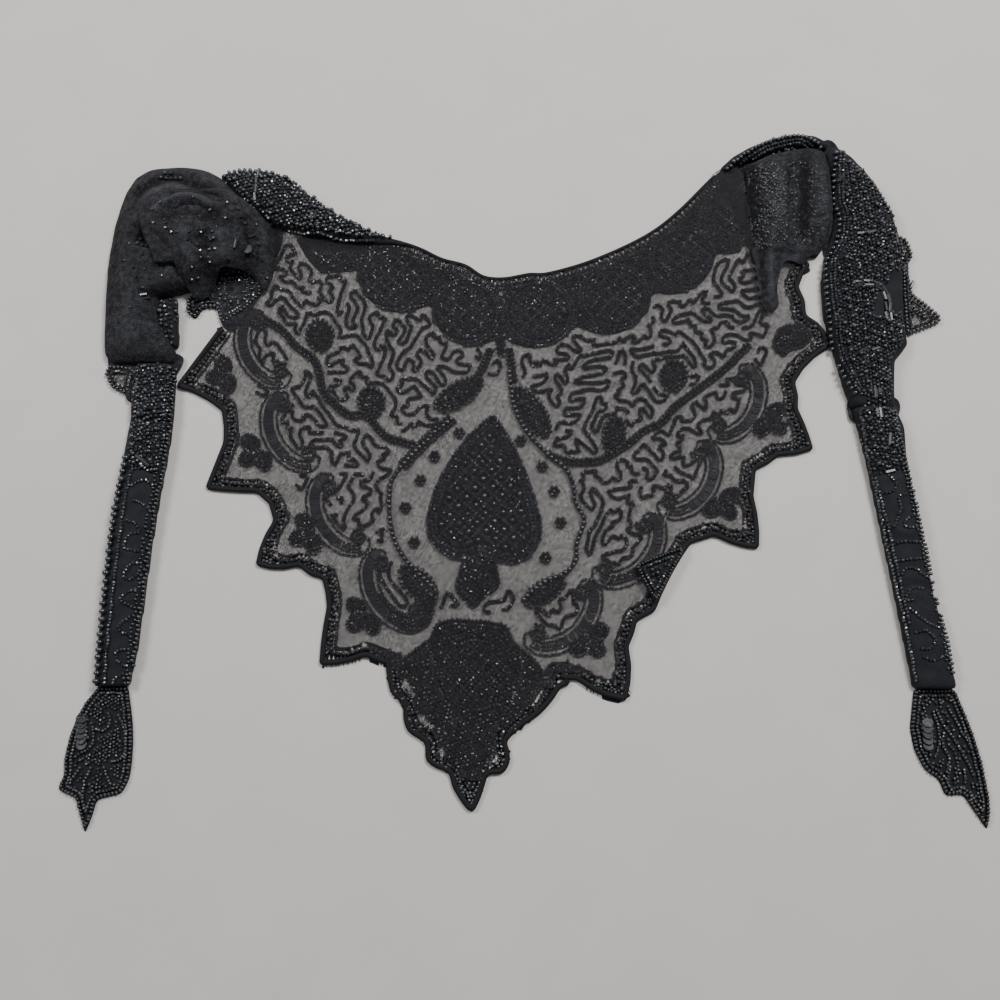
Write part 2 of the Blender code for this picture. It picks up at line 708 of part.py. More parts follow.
def add_neck_cord(collection, materials):
    """Thin cord along the neck edge, lying on the surface."""
    curve = bpy.data.curves.new("neck_cord", "CURVE")
    curve.dimensions = "3D"
    curve.bevel_depth = CORD_RADIUS * MM
    curve.bevel_resolution = 2
    curve.use_fill_caps = True
    route = smooth_route(NECK_ROUTE, CORD_STEPS)
    spline = curve.splines.new("POLY")
    spline.points.add(len(route) - 1)
    for point, (x, y) in zip(spline.points, route):
        point.co = (x * MM, y * MM, 0.0, 1.0)
    piece = add_object("neck_cord", curve, "cord", collection, materials)
    piece.location.z = CORD_RADIUS * MM


def add_bib(collection, materials):
    """Net, border and yoke of the bib."""
    add = (collection, materials)
    flat_piece("bib_net", net_outline(), NET_BASE, NET_WALL, "net", *add)
    pendant_start = len(LEFT_EDGE)
    pendant_end = pendant_start + len(PENDANT_EDGE)
    borders = {
        "border_left": (0, pendant_start),
        "border_pendant": (pendant_start, pendant_end),
        "border_right": (pendant_end, len(EDGE) - 1),
    }
    for name, (first, last) in borders.items():
        flat_piece(name, border_band(first, last), 0.0, BORDER_HEIGHT, "bead", *add)
    flat_piece("yoke_left", yoke_outline(0, YOKE_MIDDLE), 0.0, BEAD_LAYER, "bead", *add)
    last_scallop = len(YOKE_SCALLOPS) - 1
    flat_piece("yoke_right", yoke_outline(YOKE_MIDDLE, last_scallop), 0.0, BEAD_LAYER, "bead", *add)
    folded_base = BORDER_HEIGHT + SEAM_GAP
    flat_piece("folded_point", trace(FOLDED_POINT), folded_base, BEAD_LAYER, "bead", *add)


def add_motifs(collection, materials):
    """Beaded and sequined motifs on the bib's face, below the net."""
    add = (collection, materials)
    flat_piece("spade", trace(SPADE), 0.0, BEAD_LAYER, "bead", *add)
    flat_piece("spade_foot", trace(SPADE_FOOT), 0.0, BEAD_LAYER, "bead", *add)
    flat_piece("pendant_medallion", trace(MEDALLION), 0.0, BEAD_LAYER, "bead", *add)
    for scroll in SCROLLS:
        flat_piece(scroll.node, scroll_outline(scroll), 0.0, BEAD_LAYER, "sequin", *add)
    for trefoil in TREFOILS:
        flat_piece(trefoil.node, trefoil_outline(trefoil), 0.0, BEAD_LAYER, "bead", *add)
    for lens in LENSES:
        flat_piece(lens.node, lens_outline(lens), 0.0, BEAD_LAYER, "bead", *add)


def add_left_side(collection, materials):
    """Roll, lobe, flap, strip, tie and tip on the left."""
    add = (collection, materials)
    folded_piece("left_neck_roll", LEFT_ROLL, "bead", *add)
    folded_piece("left_lobe", LEFT_LOBE, "net", *add)
    flap_piece("left_flap", LEFT_LOBE, LEFT_FLAP, "net", *add)
    flat_piece("left_fold_point", trace(LEFT_FOLD_POINT), 0.0, BORDER_HEIGHT, "bead", *add)
    folded_piece("left_strip", LEFT_STRIP, "bead", *add)
    flat_piece("left_strip_point", trace(LEFT_STRIP_POINT), 0.0, BORDER_HEIGHT, "bead", *add)
    folded_piece("left_tie", LEFT_TIE, "bead", *add)
    flat_piece("left_tip", trace(LEFT_TIP), 0.0, TIP_HEIGHT, "bead", *add)


def add_right_side(collection, materials):
    """Roll, shoulder, wing, tie and tip on the right."""
    add = (collection, materials)
    folded_piece("right_neck_roll", RIGHT_ROLL, "bead", *add)
    folded_piece("right_shoulder", RIGHT_SHOULDER, "net", *add)
    folded_piece("right_wing", RIGHT_WING, "bead", *add)
    flat_piece("right_wing_edge", trace(RIGHT_WING_EDGE), 0.0, BORDER_HEIGHT, "bead", *add)
    folded_piece("right_tie", RIGHT_TIE, "bead", *add)
    flat_piece("right_tip", trace(RIGHT_TIP), 0.0, TIP_HEIGHT, "bead", *add)


def main():
    """Build the collar."""
    clear_scene()
    collection = bpy.data.collections.new("beaded_bib_collar")
    bpy.context.scene.collection.children.link(collection)
    materials = {name: make_material(name) for name in FINISHES}
    add_bib(collection, materials)
    add_motifs(collection, materials)
    add_neck_cord(collection, materials)
    add_left_side(collection, materials)
    add_right_side(collection, materials)


main()
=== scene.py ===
"""Looks of a beaded bib collar, laid face down on a pale surface with both wings folded in.

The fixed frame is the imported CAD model: its outlines, its folded solids and its seams give every piece here
its place. The collar's beads, sequins, net and folds are made around it, in the frame's own millimetres.
"""

import logging
from dataclasses import dataclass, field
from enum import Enum
from typing import Callable, NamedTuple, Sequence

import bpy
import numpy as np
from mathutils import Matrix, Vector
from mathutils.bvhtree import BVHTree
from mathutils.geometry import delaunay_2d_cdt


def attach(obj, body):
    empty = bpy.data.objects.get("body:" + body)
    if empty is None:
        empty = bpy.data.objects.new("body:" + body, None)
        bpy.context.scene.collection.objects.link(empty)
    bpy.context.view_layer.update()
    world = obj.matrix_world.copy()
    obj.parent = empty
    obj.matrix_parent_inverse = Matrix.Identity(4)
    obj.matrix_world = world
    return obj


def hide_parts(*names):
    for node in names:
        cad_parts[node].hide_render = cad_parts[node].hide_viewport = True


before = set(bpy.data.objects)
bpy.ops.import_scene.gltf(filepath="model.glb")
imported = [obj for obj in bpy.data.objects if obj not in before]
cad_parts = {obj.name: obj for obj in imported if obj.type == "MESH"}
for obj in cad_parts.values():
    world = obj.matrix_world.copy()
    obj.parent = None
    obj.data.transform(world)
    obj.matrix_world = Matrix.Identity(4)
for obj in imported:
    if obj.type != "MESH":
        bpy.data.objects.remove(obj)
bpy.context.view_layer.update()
LOG = logging.getLogger("beaded_bib_collar")

MM = 0.001
TINY = 1e-9
BODY = "root"
# In millimetres: the crease lift at which the painted fold shade is full, and a height above all cloth from
# which rays look down.
FULL_FOLD = 1.6
RAY_TOP = 60.0
DOWN = (0.0, 0.0, -1.0)

Array = np.ndarray
Places = tuple[tuple[float, float], ...]
Pieces = list[bpy.types.Object]
Route = Sequence[Sequence[float]]
Socket = bpy.types.NodeSocket


class Slot(Enum):
    """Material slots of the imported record."""

    NET = "net"
    BEADS = "jet_beads"
    SEQUINS = "sequins"
    CORD = "cord"


# ---------------------------------------------------------------- lines in plan


def smooth_route(points: Route, steps: int = 8) -> Array:
    """Carry a smooth line through given points.

    Between two points p1 and p2 the line is the Catmull-Rom cubic in t that leaves p1 along p2 - p0 and
    reaches p2 along p3 - p1.

    Args:
        points: Rows of coordinates, in millimetres.
        steps: Stretches between each two points.

    Returns:
        The line's points, one row each.
    """
    p = np.asarray(points, float)
    p0, p1, p2, p3 = np.vstack([p[:1], p[:-2]]), p[:-1], p[1:], np.vstack([p[2:], p[-1:]])
    t = (np.arange(steps) / steps)[None, :, None]
    p0, p1, p2, p3 = (q[:, None, :] for q in (p0, p1, p2, p3))
    bend = (2 * p0 - 5 * p1 + 4 * p2 - p3) * t**2 + (3 * p1 - p0 - 3 * p2 + p3) * t**3
    line = 0.5 * (2 * p1 + (p2 - p0) * t + bend)
    return np.vstack([line.reshape(-1, p.shape[1]), p[-1:]])


def run_lengths(line: Array) -> Array:
    """Length along a line at each of its points."""
    return np.concatenate([[0.0], np.cumsum(np.linalg.norm(np.diff(line, axis=0), axis=1))])


def at_lengths(line: Array, lengths: Array) -> Array:
    """Points of a line at the given lengths along it."""
    run = run_lengths(line)
    return np.column_stack([np.interp(lengths, run, line[:, k]) for k in range(line.shape[1])])


def unit(vectors: Array) -> Array:
    """Rows scaled to a length of 1."""
    return vectors / np.maximum(np.linalg.norm(vectors, axis=1, keepdims=True), TINY)


def leftward(ahead: Array) -> Array:
    """Directions in plan, turned a quarter turn to the left."""
    return np.column_stack([-ahead[:, 1], ahead[:, 0]])


def toward(angles: Array) -> Array:
    """Unit directions in plan at angles from +X, in radians."""
    return np.column_stack([np.cos(angles), np.sin(angles)])


def spaced(line: Array, pitch: float) -> tuple[Array, Array]:
    """Places for beads threaded along a line.

    Args:
        line: The thread's points, in millimetres.
        pitch: Distance from bead to bead, stretched a little so that a whole number fits.

    Returns:
        The beads' places and their unit directions along the thread.
    """
    total = run_lengths(line)[-1]
    count = max(1, round(total / pitch))
    middle = (np.arange(count) + 0.5) * total / count
    reach = 0.3 * total / count
    ahead = at_lengths(line, middle + reach) - at_lengths(line, middle - reach)
    return at_lengths(line, middle), unit(ahead)


def soften(line: Array, width: float, closed: bool = False, step: float = 0.5) -> Array:
    """Round a line's corners with a moving mean over its own length.

    Args:
        line: Points, in millimetres; a closed line doesn't repeat its first point.
        width: Length over which the mean is taken, twice.
        closed: Whether the line ends where it starts.
        step: Distance between the points of the new line.

    Returns:
        The rounded line; the ends of an open line stay where they are.
    """
    if closed:
        line = np.vstack([line, line[:1]])
    count = max(4, round(run_lengths(line)[-1] / step))
    points = at_lengths(line, np.linspace(0.0, run_lengths(line)[-1], count + 1))
    if closed:
        points = points[:-1]
    reach = max(1, round(0.5 * width / step))
    kernel = np.ones(2 * reach + 1) / (2 * reach + 1)
    for _ in range(2):
        if closed:
            padded = np.vstack([points[-reach:], points, points[:reach]])
        else:
            head = 2 * points[:1] - points[1 : reach + 1][::-1]
            tail = 2 * points[-1:] - points[-reach - 1 : -1][::-1]
            padded = np.vstack([head, points, tail])
        points = np.column_stack([np.convolve(padded[:, k], kernel, "valid") for k in range(points.shape[1])])
    return points


def distance_to(xy: Array, line: Array) -> Array:
    """Shortest distance in plan from each point to a line of straight stretches."""
    start, run = line[:-1], np.diff(line, axis=0)
    share = ((xy[:, None, :] - start[None]) * run[None]).sum(-1) / np.maximum((run * run).sum(-1), TINY)
    foot = start[None] + np.clip(share, 0.0, 1.0)[..., None] * run[None]
    return np.linalg.norm(xy[:, None, :] - foot, axis=-1).min(axis=1)


def turned(points: Array, degrees: float) -> Array:
    """Points turned in plan about the origin, anticlockwise."""
    c, s = np.cos(np.radians(degrees)), np.sin(np.radians(degrees))
    return np.asarray(points, float) @ np.array([[c, s], [-s, c]])


@dataclass
class Outline:
    """A closed outline in plan, anticlockwise, in millimetres."""

    points: Array

    @property
    def loop(self) -> Array:
        """The outline with its first point repeated at the end."""
        return np.vstack([self.points, self.points[:1]])

    @property
    def centre(self) -> Array:
        """Middle of the outline's box."""
        return 0.5 * (self.points.min(axis=0) + self.points.max(axis=0))

    def contains(self, xy: Array) -> Array:
        """Whether each point is inside: a ray towards +X crosses the loop an odd number of times."""
        (x0, y0), (x1, y1) = self.loop[:-1].T, self.loop[1:].T
        x, y = xy[:, :1], xy[:, 1:2]
        crosses = (y0 > y) != (y1 > y)
        level = np.where(np.abs(y1 - y0) < TINY, TINY, y1 - y0)
        return (crosses & (x < x0 + (y - y0) * (x1 - x0) / level)).sum(axis=1) % 2 == 1

    def depth(self, xy: Array) -> Array:
        """Distance inside the outline, negative outside it."""
        return np.where(self.contains(xy), 1.0, -1.0) * distance_to(xy, self.loop)

    def inset(self, distance: float, rounding: float = 1.2) -> Array:
        """A closed line inside the outline: its points moved in, without those that come too near it."""
        line = soften(self.points, 0.5, closed=True)
        along = unit(np.roll(line, -1, axis=0) - np.roll(line, 1, axis=0))
        moved = line + distance * leftward(along)
        moved = moved[self.depth(moved) > distance - 0.15]
        rounded = soften(moved, rounding, closed=True)
        return np.vstack([rounded, rounded[:1]])

    def moved_in(self, distance: float, rounding: float = 1.2) -> "Outline":
        """The outline moved in by a distance, or out by a negative one."""
        return Outline(self.inset(distance, rounding)[:-1])

    def lattice(self, pitch: float, margin: float, turn: float = 0.0) -> Array:
        """Places of a close-set hexagonal lattice that lie deeper than a margin."""
        half = 0.5 * float(np.ptp(self.points, axis=0).max()) + 2 * pitch
        count = int(half / pitch) + 2
        i, j = np.meshgrid(np.arange(-count, count + 1), np.arange(-count, count + 1), indexing="ij")
        grid = np.column_stack([(i + 0.5 * (j % 2)).ravel() * pitch, j.ravel() * pitch * np.sqrt(0.75)])
        places = turned(grid, turn) + self.centre
        return places[self.depth(places) > margin]


def straight_outline(corners: Route) -> Outline:
    """An outline with straight sides between given corners."""
    return Outline(np.array(corners, float))


def points_of(mesh: bpy.types.Mesh) -> Array:
    """A mesh's points, one row each, in metres."""
    points = np.empty(3 * len(mesh.vertices))
    mesh.vertices.foreach_get("co", points)
    return points.reshape(-1, 3)


def corners_of(mesh: bpy.types.Mesh) -> Array:
    """The corners of a mesh's faces, one face after another."""
    corners = np.empty(len(mesh.loops), np.int32)
    mesh.loops.foreach_get("vertex_index", corners)
    return corners


def cad_outline(name: str) -> Outline:
    """Outline in plan of a flat CAD piece: the rim of its upward faces, chained into one loop.

    Args:
        name: The CAD node.

    Returns:
        The outline, in millimetres.
    """
    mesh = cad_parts[name].data
    mesh.calc_loop_triangles()
    corners = np.empty(3 * len(mesh.loop_triangles), np.int32)
    mesh.loop_triangles.foreach_get("vertices", corners)
    points, index = np.unique(np.round(points_of(mesh) / MM, 3), axis=0, return_inverse=True)
    triangles = index.ravel()[corners].reshape(-1, 3)
    a, b, c = (points[triangles[:, k]] for k in range(3))
    normal = np.cross(b - a, c - a)
    up = normal[:, 2] > 0.9 * np.linalg.norm(normal, axis=1)
    top = triangles[up & (a[:, 2] > points[:, 2].max() - 0.05)]
    edges = {(int(p), int(q)) for t in top for p, q in zip(t, np.roll(t, -1))}
    following = {p: q for p, q in edges if (q, p) not in edges}
    chain = [next(iter(sorted(following)))]
    while following[chain[-1]] != chain[0]:
        chain.append(following[chain[-1]])
    return Outline(points[chain][:, :2])


# ---------------------------------------------------------------- meshes from arrays


def ring_faces(rows: int, sides: int) -> tuple[Array, Array]:
    """Faces of a closed turned shape: quads between its rings of points, and a fan at each end.

    Args:
        rows: Rings, one after another along the shape.
        sides: Points in each ring; the middles of the two ends come after the last ring.

    Returns:
        The faces' corners, one face after another, and each face's corner count.
    """
    here = np.arange(sides)
    ahead = (here + 1) % sides
    start = sides * np.arange(rows - 1)[:, None]
    quads = np.stack([start + here, start + ahead, start + sides + ahead, start + sides + here], -1)
    end = rows * sides
    first_fan = np.column_stack([np.full(sides, end), ahead, here])
    last_fan = np.column_stack([np.full(sides, end + 1), end - sides + here, end - sides + ahead])
    corners = np.concatenate([quads.ravel(), first_fan.ravel(), last_fan.ravel()])
    return corners, np.array([4] * (rows - 1) * sides + [3] * 2 * sides)


class Facets(NamedTuple):
    """A small shape to repeat: its points, its faces' corners in a row, and each face's corner count."""

    points: Array
    corners: Array
    counts: Array


class Cut(Enum):
    """A bead's cut: its number of sides, and its profile as shares of its length and of its diameter."""

    SEED = (6, ((-0.42, 0.36), (0.0, 0.5), (0.42, 0.36)))
    ROUND = (7, ((-0.38, 0.31), (-0.14, 0.48), (0.14, 0.48), (0.38, 0.31)))
    BUGLE = (6, ((-0.5, 0.4), (-0.47, 0.5), (0.47, 0.5), (0.5, 0.4)))
    SEQUIN = (12, ((-0.5, 0.44), (-0.1, 0.5), (0.5, 0.46)))

    def facets(self) -> Facets:
        """Turn the profile about +X: one unit long and one unit across, closed at both ends."""
        sides, profile = self.value
        rows = np.array(profile)
        angle = 2 * np.pi * np.arange(sides) / sides
        rings = np.stack(np.broadcast_arrays(
            rows[:, :1], rows[:, 1:] * np.cos(angle), rows[:, 1:] * np.sin(angle)), axis=-1)
        ends = np.array([[min(rows[0, 0], -0.45), 0.0, 0.0], [max(rows[-1, 0], 0.45), 0.0, 0.0]])
        return Facets(np.vstack([rings.reshape(-1, 3), ends]), *ring_faces(len(rows), sides))


class MeshParts:
    """Collects repeated shapes and tubes as arrays and joins them into one mesh.

    Each point carries two values for the materials: tone, a number of its bead's own from 0 to 1, and run,
    the length along its tube in millimetres.
    """

    def __init__(self, seed: int) -> None:
        """Start with no parts and a random source of its own."""
        self.random = np.random.default_rng(seed)
        self.blocks: list[tuple[Array, ...]] = []
        self.total = 0

    def _append(self, points: Array, corners: Array, counts: Array, tones: Array, runs: Array,
                soft: bool) -> None:
        """Add one block of points and faces behind those that are there, smooth-shaded if soft."""
        self.blocks.append((points, corners + self.total, counts, tones, runs, np.full(len(counts), soft)))
        self.total += len(points)

    def beads(self, cut: Cut, centres: Array, axes: Array, length: float, width: float,
              uneven: float = 0.07) -> None:
        """Add a bead at each place, with its hole along the thread.

        A bead's frame is its axis, a side that is level where it can be, and the product of the two, then
        rolled by a random angle about the axis. Point = centre + length x along + width x (y side + z third).

        Args:
            cut: The bead's cut.
            centres: Places (n, 3), in millimetres.
            axes: Unit directions of the holes (n, 3), or one for all.
            length: Length along the hole, in millimetres.
            width: Diameter, in millimetres.
            uneven: Spread of the sizes, as a share.
        """
        count = len(centres)
        if count == 0:
            return
        shape = cut.facets()
        axes = unit(np.broadcast_to(axes, (count, 3)) + self.random.normal(0.0, 0.06, (count, 3)))
        helper = np.where(np.abs(axes[:, 2:]) > 0.8, [[1.0, 0.0, 0.0]], [[0.0, 0.0, 1.0]])
        side = unit(np.cross(helper, axes))
        third = np.cross(axes, side)
        roll = self.random.uniform(0.0, 2 * np.pi, (count, 1))
        side, third = side * np.cos(roll) + third * np.sin(roll), third * np.cos(roll) - side * np.sin(roll)
        scale = 1.0 + self.random.normal(0.0, uneven, (count, 2)).clip(-2 * uneven, 2 * uneven)
        sizes = np.stack([length * scale[:, 0], width * scale[:, 1], width * scale[:, 1]], axis=1)
        local = shape.points[None] * sizes[:, None]
        points = centres[:, None] + np.einsum("nmk,nkj->nmj", local, np.stack([axes, side, third], axis=1))
        size = len(shape.points)
        corners = (shape.corners[None] + size * np.arange(count)[:, None]).ravel()
        tones = np.repeat(self.random.uniform(0.0, 1.0, count), size)
        runs = np.zeros(count * size)
        counts = np.tile(shape.counts, count)
        self._append(points.reshape(-1, 3), corners, counts, tones, runs, cut is Cut.ROUND)

    def tube(self, path: Array, width: float, height: float, sides: int = 10) -> None:
        """Carry an elliptical section along a path, closed with a fan at each end.

        Point = path + width/2 x cos(a) side + height/2 x sin(a) up, where side is level and across the path.

        Args:
            path: Points (n, 3), in millimetres.
            width: Level width of the section.
            height: Height of the section.
            sides: Points round the section.
        """
        side = unit(np.column_stack([leftward(np.gradient(path, axis=0)), np.zeros(len(path))]))
        angle = 2 * np.pi * np.arange(sides) / sides
        rings = path[:, None] + 0.5 * width * np.cos(angle)[None, :, None] * side[:, None]
        rings[..., 2] += 0.5 * height * np.sin(angle)
        points = np.vstack([rings.reshape(-1, 3), path[:1], path[-1:]])
        run = run_lengths(path)
        runs = np.concatenate([np.repeat(run, sides), run[:1], run[-1:]])
        tones = np.full(len(points), self.random.uniform())
        self._append(points, *ring_faces(len(path), sides), tones, runs, True)

    def mesh(self, name: str) -> bpy.types.Mesh:
        """Join the parts into a mesh in metres with its attributes; cut beads keep their facets."""
        columns = (np.concatenate(column) for column in zip(*self.blocks))
        points, corners, counts, tones, runs, rounded = columns
        mesh = mesh_from_arrays(name, points * MM, corners, counts)
        mesh.polygons.foreach_set("use_smooth", rounded)
        for label, values in (("tone", tones), ("run", runs)):
            attribute = mesh.attributes.new(label, "FLOAT", "POINT")
            attribute.data.foreach_set("value", values.astype(np.float32))
        return mesh


def mesh_from_arrays(name: str, points: Array, corners: Array, counts: Array) -> bpy.types.Mesh:
    """Put points and faces into a mesh.

    Args:
        name: The mesh's name.
        points: Places (n, 3), in metres.
        corners: The faces' corners, one face after another.
        counts: Corner count of each face.

    Returns:
        The mesh, smooth-shaded.
    """
    mesh = bpy.data.meshes.new(name)
    mesh.vertices.add(len(points))
    mesh.vertices.foreach_set("co", points.astype(np.float32).ravel())
    mesh.loops.add(len(corners))
    mesh.loops.foreach_set("vertex_index", corners.astype(np.int32))
    mesh.polygons.add(len(counts))
    mesh.polygons.foreach_set("loop_start", np.concatenate([[0], np.cumsum(counts)[:-1]]).astype(np.int32))
    mesh.update(calc_edges=True)
    mesh.shade_smooth()
    return mesh


def flat_path(line: Array, height: float) -> Array:
    """A line in plan, lifted to a height."""
    return np.column_stack([line, np.full(len(line), height)])


def into_scene(name: str, data: bpy.types.ID) -> bpy.types.Object:
    """Make an object of a mesh, light or camera, and link it to the scene."""
    made = bpy.data.objects.new(name, data)
    bpy.context.scene.collection.objects.link(made)
    return made


def show(mesh: bpy.types.Mesh, material: bpy.types.Material, slot: Slot,
         *stands_for: str) -> bpy.types.Object:
    """Make a piece of the collar from a mesh, hang it on the collar's body, and hide the CAD nodes that it
    replaces.

    Args:
        mesh: The piece's mesh, in metres; its name becomes the piece's name.
        material: Its finish.
        slot: Not used.
        stands_for: CAD nodes that it replaces.

    Returns:
        The piece.
    """
    piece = into_scene(mesh.name, mesh)
    mesh.materials.append(material)
    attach(piece, BODY)
    if stands_for:
        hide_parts(*stands_for)
    LOG.info("%s: %d faces", piece.name, len(mesh.polygons))
    return piece


# ---------------------------------------------------------------- materials


def linear(code: str) -> tuple[float, float, float, float]:
    """Turn an sRGB hex colour into linear light, with full alpha."""
    values = [int(code[k : k + 2], 16) / 255.0 for k in (1, 3, 5)]
    light = [v / 12.92 if v <= 0.04045 else ((v + 0.055) / 1.055) ** 2.4 for v in values]
    return (*light, 1.0)


class Surface:
    """A material in the making: its node tree, its Principled shader, and the place in Object coordinates."""

    def __init__(self, name: str, values: dict[str, float]) -> None:
        """Start a material and set its shader's plain values."""
        self.material = bpy.data.materials.new(name)
        self.material.use_nodes = True
        self.tree = self.material.node_tree
        self.shader = self.tree.nodes["Principled BSDF"]
        for label, value in values.items():
            self.shader.inputs[label].default_value = value
        self.place = self.add("TexCoord", {}, "Object")

    def add(self, kind: str, inputs: dict, output: int | str = 0, **settings) -> Socket:
        """Add a node with its settings, values and links.

        Args:
            kind: The node's type name without its ShaderNode prefix.
            inputs: Values or output sockets by input name or number.
            output: Name or number of the output that is wanted.
            settings: The node's own properties.

        Returns:
            The output.
        """
        node = self.tree.nodes.new("ShaderNode" + kind)
        for label, value in settings.items():
            setattr(node, label, value)
        for key, value in inputs.items():
            if isinstance(value, Socket):
                self.tree.links.new(value, node.inputs[key])
            else:
                node.inputs[key].default_value = value
        return node.outputs[output]

    def dress(self, **values: Socket) -> bpy.types.Material:
        """Link values to the shader's inputs, with _ for a name's space, and give the finished material."""
        for label, value in values.items():
            self.tree.links.new(value, self.shader.inputs[label.replace("_", " ")])
        return self.material


def hexagon_edge(net: Surface, place: Socket, pitch: float) -> Socket:
    """Distance to the nearest thread of a hexagonal net, as a share of its pitch.

    The plane is cut into two shifted sets of 1 by root-3 boxes; the nearer box centre is the hole's, and the
    distance to its hexagon's edge is one half less the largest of |x| and |x|/2 + |y| root-3/2.

    Args:
        net: The material.
        place: A place, in metres.
        pitch: Width of a hole from thread to thread, in millimetres.

    Returns:
        The distance, from 0 on a thread to 0.5 in a hole's middle.
    """
    rate, tall = 1 / (pitch * MM), 0.5 * float(np.sqrt(3.0))
    scaled = net.add("VectorMath", {0: place, 1: (rate, rate, 0.0)}, operation="MULTIPLY")
    shifted = net.add("VectorMath", {0: scaled, 1: (0.5, tall, 0.0)}, operation="ADD")
    flat, reach = [], []
    for start in (scaled, shifted):
        box = {0: start, 1: (0.5, tall, 0.5), 2: (-0.5, -tall, -0.5)}
        wrapped = net.add("VectorMath", box, operation="WRAP")
        flat.append(net.add("VectorMath", {0: wrapped, 1: (1.0, 1.0, 0.0)}, operation="MULTIPLY"))
        reach.append(net.add("VectorMath", {0: flat[-1]}, 1, operation="LENGTH"))
    nearer = net.add("Math", dict(enumerate(reach)), operation="GREATER_THAN")
    pick = net.add("Mix", {"Factor": nearer, 4: flat[0], 5: flat[1]}, 1, data_type="VECTOR")
    size = net.add("VectorMath", {0: pick}, operation="ABSOLUTE")
    slant = net.add("VectorMath", {0: size, 1: (0.5, tall, 0.0)}, 1, operation="DOT_PRODUCT")
    widest = net.add("Math", {0: slant, 1: net.add("SeparateXYZ", {0: size})}, operation="MAXIMUM")
    return net.add("Math", {0: 0.5, 1: widest}, operation="SUBTRACT")


@dataclass(frozen=True)
class NylonNet:
    """Nylon net, woven in hexagons and dyed black: seen through, with a grey haze on its threads."""

    name: str = "nylon_net"
    pitch: float = 0.7
    thread_share: float = 0.165
    low: str = "#1D1C1F"
    high: str = "#2C2A2E"

    def material(self) -> bpy.types.Material:
        """Net with open holes; the real holes are about 0.6 mm, drawn a little wider so that they show."""
        net = Surface(self.name, {"Roughness": 0.8, "Specular IOR Level": 0.15})
        grain = net.add("Mapping", {"Vector": net.place, "Rotation": (0.0, 0.0, 0.33)})
        sway = net.add("TexNoise", {"Vector": net.place, "Scale": 70.0, "Detail": 2.0}, "Color")
        pull = net.add("VectorMath", {0: sway, 1: (0.003, 0.003, 0.0)}, operation="MULTIPLY")
        edge = hexagon_edge(net, net.add("VectorMath", {0: grain, 1: pull}, operation="ADD"), self.pitch)
        wear = net.add("TexNoise", {"Vector": net.place, "Scale": 1100.0, "Detail": 2.0})
        worn = net.add("Math", {0: wear, 1: 0.5, 2: edge}, operation="MULTIPLY_ADD")
        thread = net.add("MapRange", {
            "Value": worn, "From Min": self.thread_share + 0.22, "From Max": self.thread_share + 0.28,
            "To Min": 1.0, "To Max": 0.0})
        cloud = net.add("TexNoise", {"Vector": net.place, "Scale": 180.0, "Detail": 2.0})
        shades = {"Factor": cloud, 6: linear(self.low), 7: linear(self.high)}
        return net.dress(Base_Color=net.add("Mix", shades, 2, data_type="RGBA"), Alpha=thread)


@dataclass(frozen=True)
class LayeredNet:
    """The same net in many layers: nearly closed, soft and matt, with specks where its holes were."""

    name: str = "layered_net"
    pitch: float = 0.9
    low: str = "#0C0C0E"
    high: str = "#46464C"
    bump: float = 0.9

    def material(self) -> bpy.types.Material:
        """Two nets turned against each other give the specks, and a cloud varies them; the fold attribute
        paints shade in the troughs and lighter tone on the ridges.
        """
        net = Surface(self.name, {"Roughness": 0.9, "Specular IOR Level": 0.15, "Sheen Weight": 0.03})
        across = net.add("Mapping", {"Vector": net.place, "Rotation": (0.5, 0.3, 0.45)})
        both = {0: hexagon_edge(net, net.place, self.pitch), 1: hexagon_edge(net, across, 1.3 * self.pitch)}
        weave = net.add("MapRange", {
            "Value": net.add("Math", both, operation="MINIMUM"), "From Min": 0.04, "From Max": 0.3,
            "To Min": 1.0, "To Max": 0.0})
        speck = net.add("TexNoise", {"Vector": net.place, "Scale": 520.0, "Detail": 3.0, "Roughness": 0.7})
        fuzz = net.add("MapRange", {"Value": speck, "From Min": 0.38, "From Max": 0.66})
        cloud = net.add("TexNoise", {"Vector": net.place, "Scale": 90.0, "Detail": 3.0, "Roughness": 0.6})
        share = net.add("Math", {0: weave, 1: fuzz}, operation="MULTIPLY")
        cloudy = net.add("Math", {0: share, 1: cloud, 2: 0.08}, operation="MULTIPLY_ADD")
        # Painted shade: the fold attribute darkens the colour in crease troughs and lightens it on ridges.
        fold = net.add("Attribute", {}, "Fac", attribute_name="fold")
        shaded = net.add("Math", {0: fold, 1: 0.3, 2: cloudy}, operation="MULTIPLY_ADD")
        shades = {"Factor": shaded, 6: linear(self.low), 7: linear(self.high)}
        raised = net.add("Bump", {"Height": weave, "Strength": self.bump, "Distance": 0.0002})
        return net.dress(Base_Color=net.add("Mix", shades, 2, data_type="RGBA"), Normal=raised)


@dataclass(frozen=True)
class PressedGlass:
    """Black glass beads, cut and fire-polished: small hard highlights on near-black, no two quite alike."""

    name: str = "jet_glass"
    low: str = "#141519"
    high: str = "#2A2C32"
    smooth: float = 0.22
    dull: float = 0.5

    def material(self) -> bpy.types.Material:
        """Each bead's own tone moves its colour and its polish; a fine grain breaks the highlight."""
        glass = Surface(self.name, {"IOR": 1.7})
        tone = glass.add("Attribute", {}, "Fac", attribute_name="tone")
        shades = {"Factor": tone, 6: linear(self.low), 7: linear(self.high)}
        grain = glass.add("TexNoise", {"Vector": glass.place, "Scale": 1500.0, "Detail": 1.0})
        mixed = glass.add("Math", {0: tone, 1: grain}, operation="MULTIPLY")
        polish = glass.add("MapRange", {
            "Value": mixed, "From Max": 0.7, "To Min": self.smooth, "To Max": self.dull})
        return glass.dress(Base_Color=glass.add("Mix", shades, 2, data_type="RGBA"), Roughness=polish)


